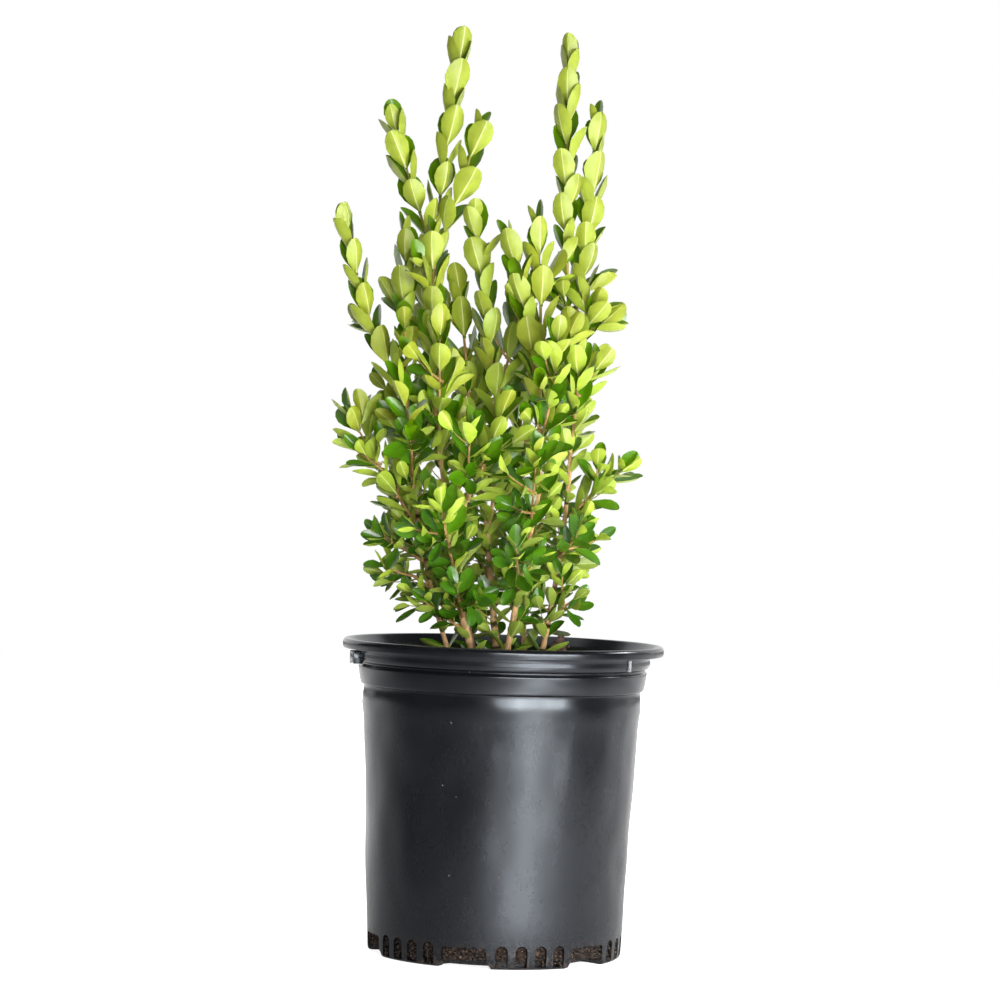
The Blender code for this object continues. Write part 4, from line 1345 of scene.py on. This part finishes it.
def leaf_mesh(number):
    """One leaf shape, 1 long: a closed blade, cupped toward its upper side, with a midrib."""
    chance = random.Random(f"leaf shape {number}")
    cup = chance.uniform(*LEAF_CUP)
    fold = chance.uniform(*LEAF_FOLD)
    arch = chance.uniform(*LEAF_ARCH)
    broad = chance.uniform(*LEAF_BROAD)
    width = LEAF_WIDTH * chance.uniform(*LEAF_SPAN) / 2
    skew = chance.uniform(*LEAF_SKEW)
    shape = bmesh.new()
    rows = len(LEAF_ROWS)
    bmesh.ops.create_grid(shape, x_segments=rows, y_segments=COLUMN_FACES, size=1)
    inner = []
    for corner in shape.verts:
        row = round((corner.co.x + 1) / 2 * rows)
        column = round((corner.co.y + 1) / 2 * COLUMN_FACES) - COLUMN_FACES / 2
        side = math.copysign(1, column)
        place = int(abs(column))
        if row == rows:
            share, across = LEAF_TIP[place]
            across *= width
        else:
            share, half = LEAF_ROWS[row]
            share **= broad
            across = LEAF_COLUMNS[place] * half * width
        if place == 0:
            across = min(RIB_ROOT + share * (RIB_TIP - RIB_ROOT), RIB_MOST * half * width)
        rise = fold * across + cup * (across / width) ** 2 * 2 * width
        rise += arch * (2 * share - 1) ** 2
        corner.co = Vector((share, side * across + skew * share * share, rise))
        if 0 < row < rows and place < 2:
            inner.append((corner.co.copy(), place == 0))
    every = shape.faces[:] + shape.edges[:] + shape.verts[:]
    under = bmesh.ops.duplicate(shape, geom=every)["geom"]
    below = [item for item in under if isinstance(item, bmesh.types.BMFace)]
    for corner in [item for item in under if isinstance(item, bmesh.types.BMVert)]:
        for place, on_rib in inner:
            if (corner.co - place).length < LEAF_WELD / 10:
                corner.co.z -= LEAF_THICK + (RIB_PROUD if on_rib else 0)
                break
    for face in below:
        middle = face.calc_center_median()
        on_rib = abs(middle.y - skew * middle.x ** 2) < RIB_FACE
        face.material_index = 2 if on_rib else 1
    bmesh.ops.reverse_faces(shape, faces=below)
    bmesh.ops.remove_doubles(shape, verts=shape.verts, dist=LEAF_WELD)
    return mesh_of(f"leaf_shape_{number}", shape)


def add_leaves(leaves):
    """All leaves of a tint joined into one piece, which stands for the masses they grow on."""
    shapes = [leaf_mesh(number) for number in range(LEAF_SHAPES)]
    chance = random.Random("leaf shapes")
    for tint in TINTS:
        joined = bmesh.new()
        owners = set()
        for leaf in leaves:
            if leaf.tint != tint:
                continue
            mesh = chance.choice(shapes).copy()
            mesh.transform(leaf.matrix())
            joined.from_mesh(mesh)
            bpy.data.meshes.remove(mesh)
            if leaf.owner in MASSES:
                owners.add(leaf.owner)
        add_piece(f"leaves_{tint}", joined, leaf_finishes(tint), sorted(owners), sharp=LEAF_CREASE)
    for mesh in shapes:
        bpy.data.meshes.remove(mesh)


def axil_twigs(name, stem, clearances, chance):
    """Short fine twigs from the leaf axils, which fill the lower and middle crown."""
    made = []
    count = round(stem.length() / AXIL_SPACING)
    for number in range(count):
        share = (number + chance.uniform(0.2, 0.8)) / count * AXIL_SHARE
        height = stem.at(share).z
        wanted = chance.random() < 1 - AXILS_LEFT_BARE * leaf_share(height)
        if wanted and AXIL_FOOT < height < AXIL_TOP:
            length = chance.uniform(*AXIL_LENGTH) * MM
            twig = side_twig(stem, share, chance.uniform(0, TURN), length, chance)
            twig.thick = FINE_TWIG_RADIUS
            twig.thin = FINE_TWIG_TIP_RADIUS
            if clearances.route_is_clear(twig, name):
                clearances.take_route(twig, name)
                made.append(twig)
    return made


def grow_crown(limbs):
    """The twigs of each mass, the fine twigs with their owners, and all leaves."""
    clearances = Clearances()
    for name, route in limbs.items():
        clearances.take_route(route, name)
        clearances.take_solid(*tube_surface(route, route.radius))
    masses = {name: plan_twigs(name, limbs, clearances) for name in MASSES}
    chance = random.Random("axil twigs")
    fine_twigs = []
    carriers = [(name, twigs[0]) for name, twigs in masses.items()] + list(limbs.items())
    for name, route in carriers:
        fine_twigs.extend((name, twig) for twig in axil_twigs(name, route, clearances, chance))
    for twigs in masses.values():
        for twig in twigs:
            clearances.take_solid(*tube_surface(twig, lambda share, twig=twig: slim(twig, share)))
    crown = Crown(clearances)
    for name, twigs in masses.items():
        crown.leaf_pairs(name, twigs[0], MASS_STEM_LEAVES, random.Random(name + " leaves a"))
    for name, twigs in masses.items():
        chance = random.Random(name + " side leaves a")
        for twig in twigs[1:]:
            crown.leaf_pairs(name, twig, SIDE_TWIG_LEAVES, chance)
    for name, twig in fine_twigs:
        chance = random.Random(f"{name} {twig.start.z}")
        crown.leaf_pairs(name, twig, FINE_TWIG_LEAVES, chance)
    for name, route in limbs.items():
        reach = STEM_LEAVES if name in STEMS else BOUGH_LEAVES
        crown.leaf_pairs(name, route, reach, random.Random(name + " leaves a"))
    return masses, fine_twigs, crown.leaves


def add_camera():
    camera_data = bpy.data.cameras.new("camera")
    camera_data.lens = LENS
    camera_data.sensor_width = SENSOR
    camera = bpy.data.objects.new("camera", camera_data)
    bpy.context.scene.collection.objects.link(camera)
    place = Vector((VIEW_X, -VIEW_DISTANCE, CAMERA_HEIGHT))
    way = Vector((VIEW_X, 0, VIEW_Z)) - place
    level = way.to_track_quat("-Z", "Y").to_matrix()
    turn = level @ Matrix.Rotation(CAMERA_ROLL, 3, "Z")
    camera.matrix_world = Matrix.Translation(place) @ turn.to_4x4()
    bpy.context.scene.camera = camera


def add_area_light(name, place, aim, width, height, power, spread):
    light = bpy.data.lights.new(name, "AREA")
    light.shape = "RECTANGLE"
    light.size = width
    light.size_y = height
    light.energy = power
    light.spread = math.radians(spread)
    lamp = bpy.data.objects.new(name, light)
    lamp.visible_camera = False
    way = Vector(aim) - Vector(place)
    lamp.matrix_world = Matrix.Translation(place) @ way.to_track_quat("-Z", "Y").to_matrix().to_4x4()
    bpy.context.scene.collection.objects.link(lamp)


def floor_finish():
    """Pale paint that glows behind the pot and looks white to the camera, like the room."""
    finish = Finish("pale_floor")
    glow = finish.spread(finish.axes()["Y"], *FLOOR_GLOW, *FLOOR_FADE)
    seen = finish.node("ShaderNodeLightPath").outputs["Is Camera Ray"]
    away = finish.node("ShaderNodeVectorMath", {0: finish.place}, operation="LENGTH")
    whiter = finish.spread(away.outputs["Value"], *FLOOR_WHITER, *FLOOR_FAR)
    glowing = finish.worked_out("MULTIPLY_ADD", seen, whiter, glow)
    finish.feed(finish.inputs, {"Emission Strength": glowing, "Emission Color": (1, 1, 1, 1)})
    return finish.done((FLOOR_PAINT, FLOOR_PAINT, FLOOR_PAINT, 1), 0.9)


def add_studio():
    """A room that is white to the camera and dim otherwise, the lights and a pale floor."""
    world = bpy.data.worlds.new("studio")
    world.use_nodes = True
    tree = world.node_tree
    background = tree.nodes["Background"]
    background.inputs["Color"].default_value = (1, 1, 1, 1)
    seen = tree.nodes.new("ShaderNodeLightPath")
    level = tree.nodes.new("ShaderNodeMapRange")
    level.inputs["To Min"].default_value = ROOM_LIGHT
    level.inputs["To Max"].default_value = 1
    tree.links.new(seen.outputs["Is Camera Ray"], level.inputs["Value"])
    tree.links.new(level.outputs["Result"], background.inputs["Strength"])
    bpy.context.scene.world = world
    bpy.context.scene.view_settings.view_transform = "Standard"
    for light in LIGHTS:
        add_area_light(*light)
    shape = bmesh.new()
    bmesh.ops.create_circle(shape, cap_ends=True, segments=FLOOR_STEPS, radius=FLOOR_RADIUS)
    mesh = mesh_of("floor", shape)
    mesh.materials.append(floor_finish())
    floor = bpy.data.objects.new("floor", mesh)
    bpy.context.scene.collection.objects.link(floor)


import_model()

add_camera()
add_studio()
plastic = plastic_finish()
add_pot(plastic)
add_fitting("pot_lug", LUG_BLOCKS, plastic)
# The rib at the right is pale: wear, and a painted highlight along its edge.
pale_wear_and_highlight = grainy_finish("plastic_pale_wear_and_highlight", (112, 114, 118), (158, 160, 165))
add_fitting("pot_rib", RIB_PALE_WEAR_AND_HIGHLIGHT, pale_wear_and_highlight)
add_mix(mix_finish())
add_chips()
limbs = plan_limbs()
add_limbs(limbs, bark_finish())
masses, fine_twigs, leaves = grow_crown(limbs)
add_twigs(masses, fine_twigs)
add_leaves(leaves)

bpy.context.view_layer.update()
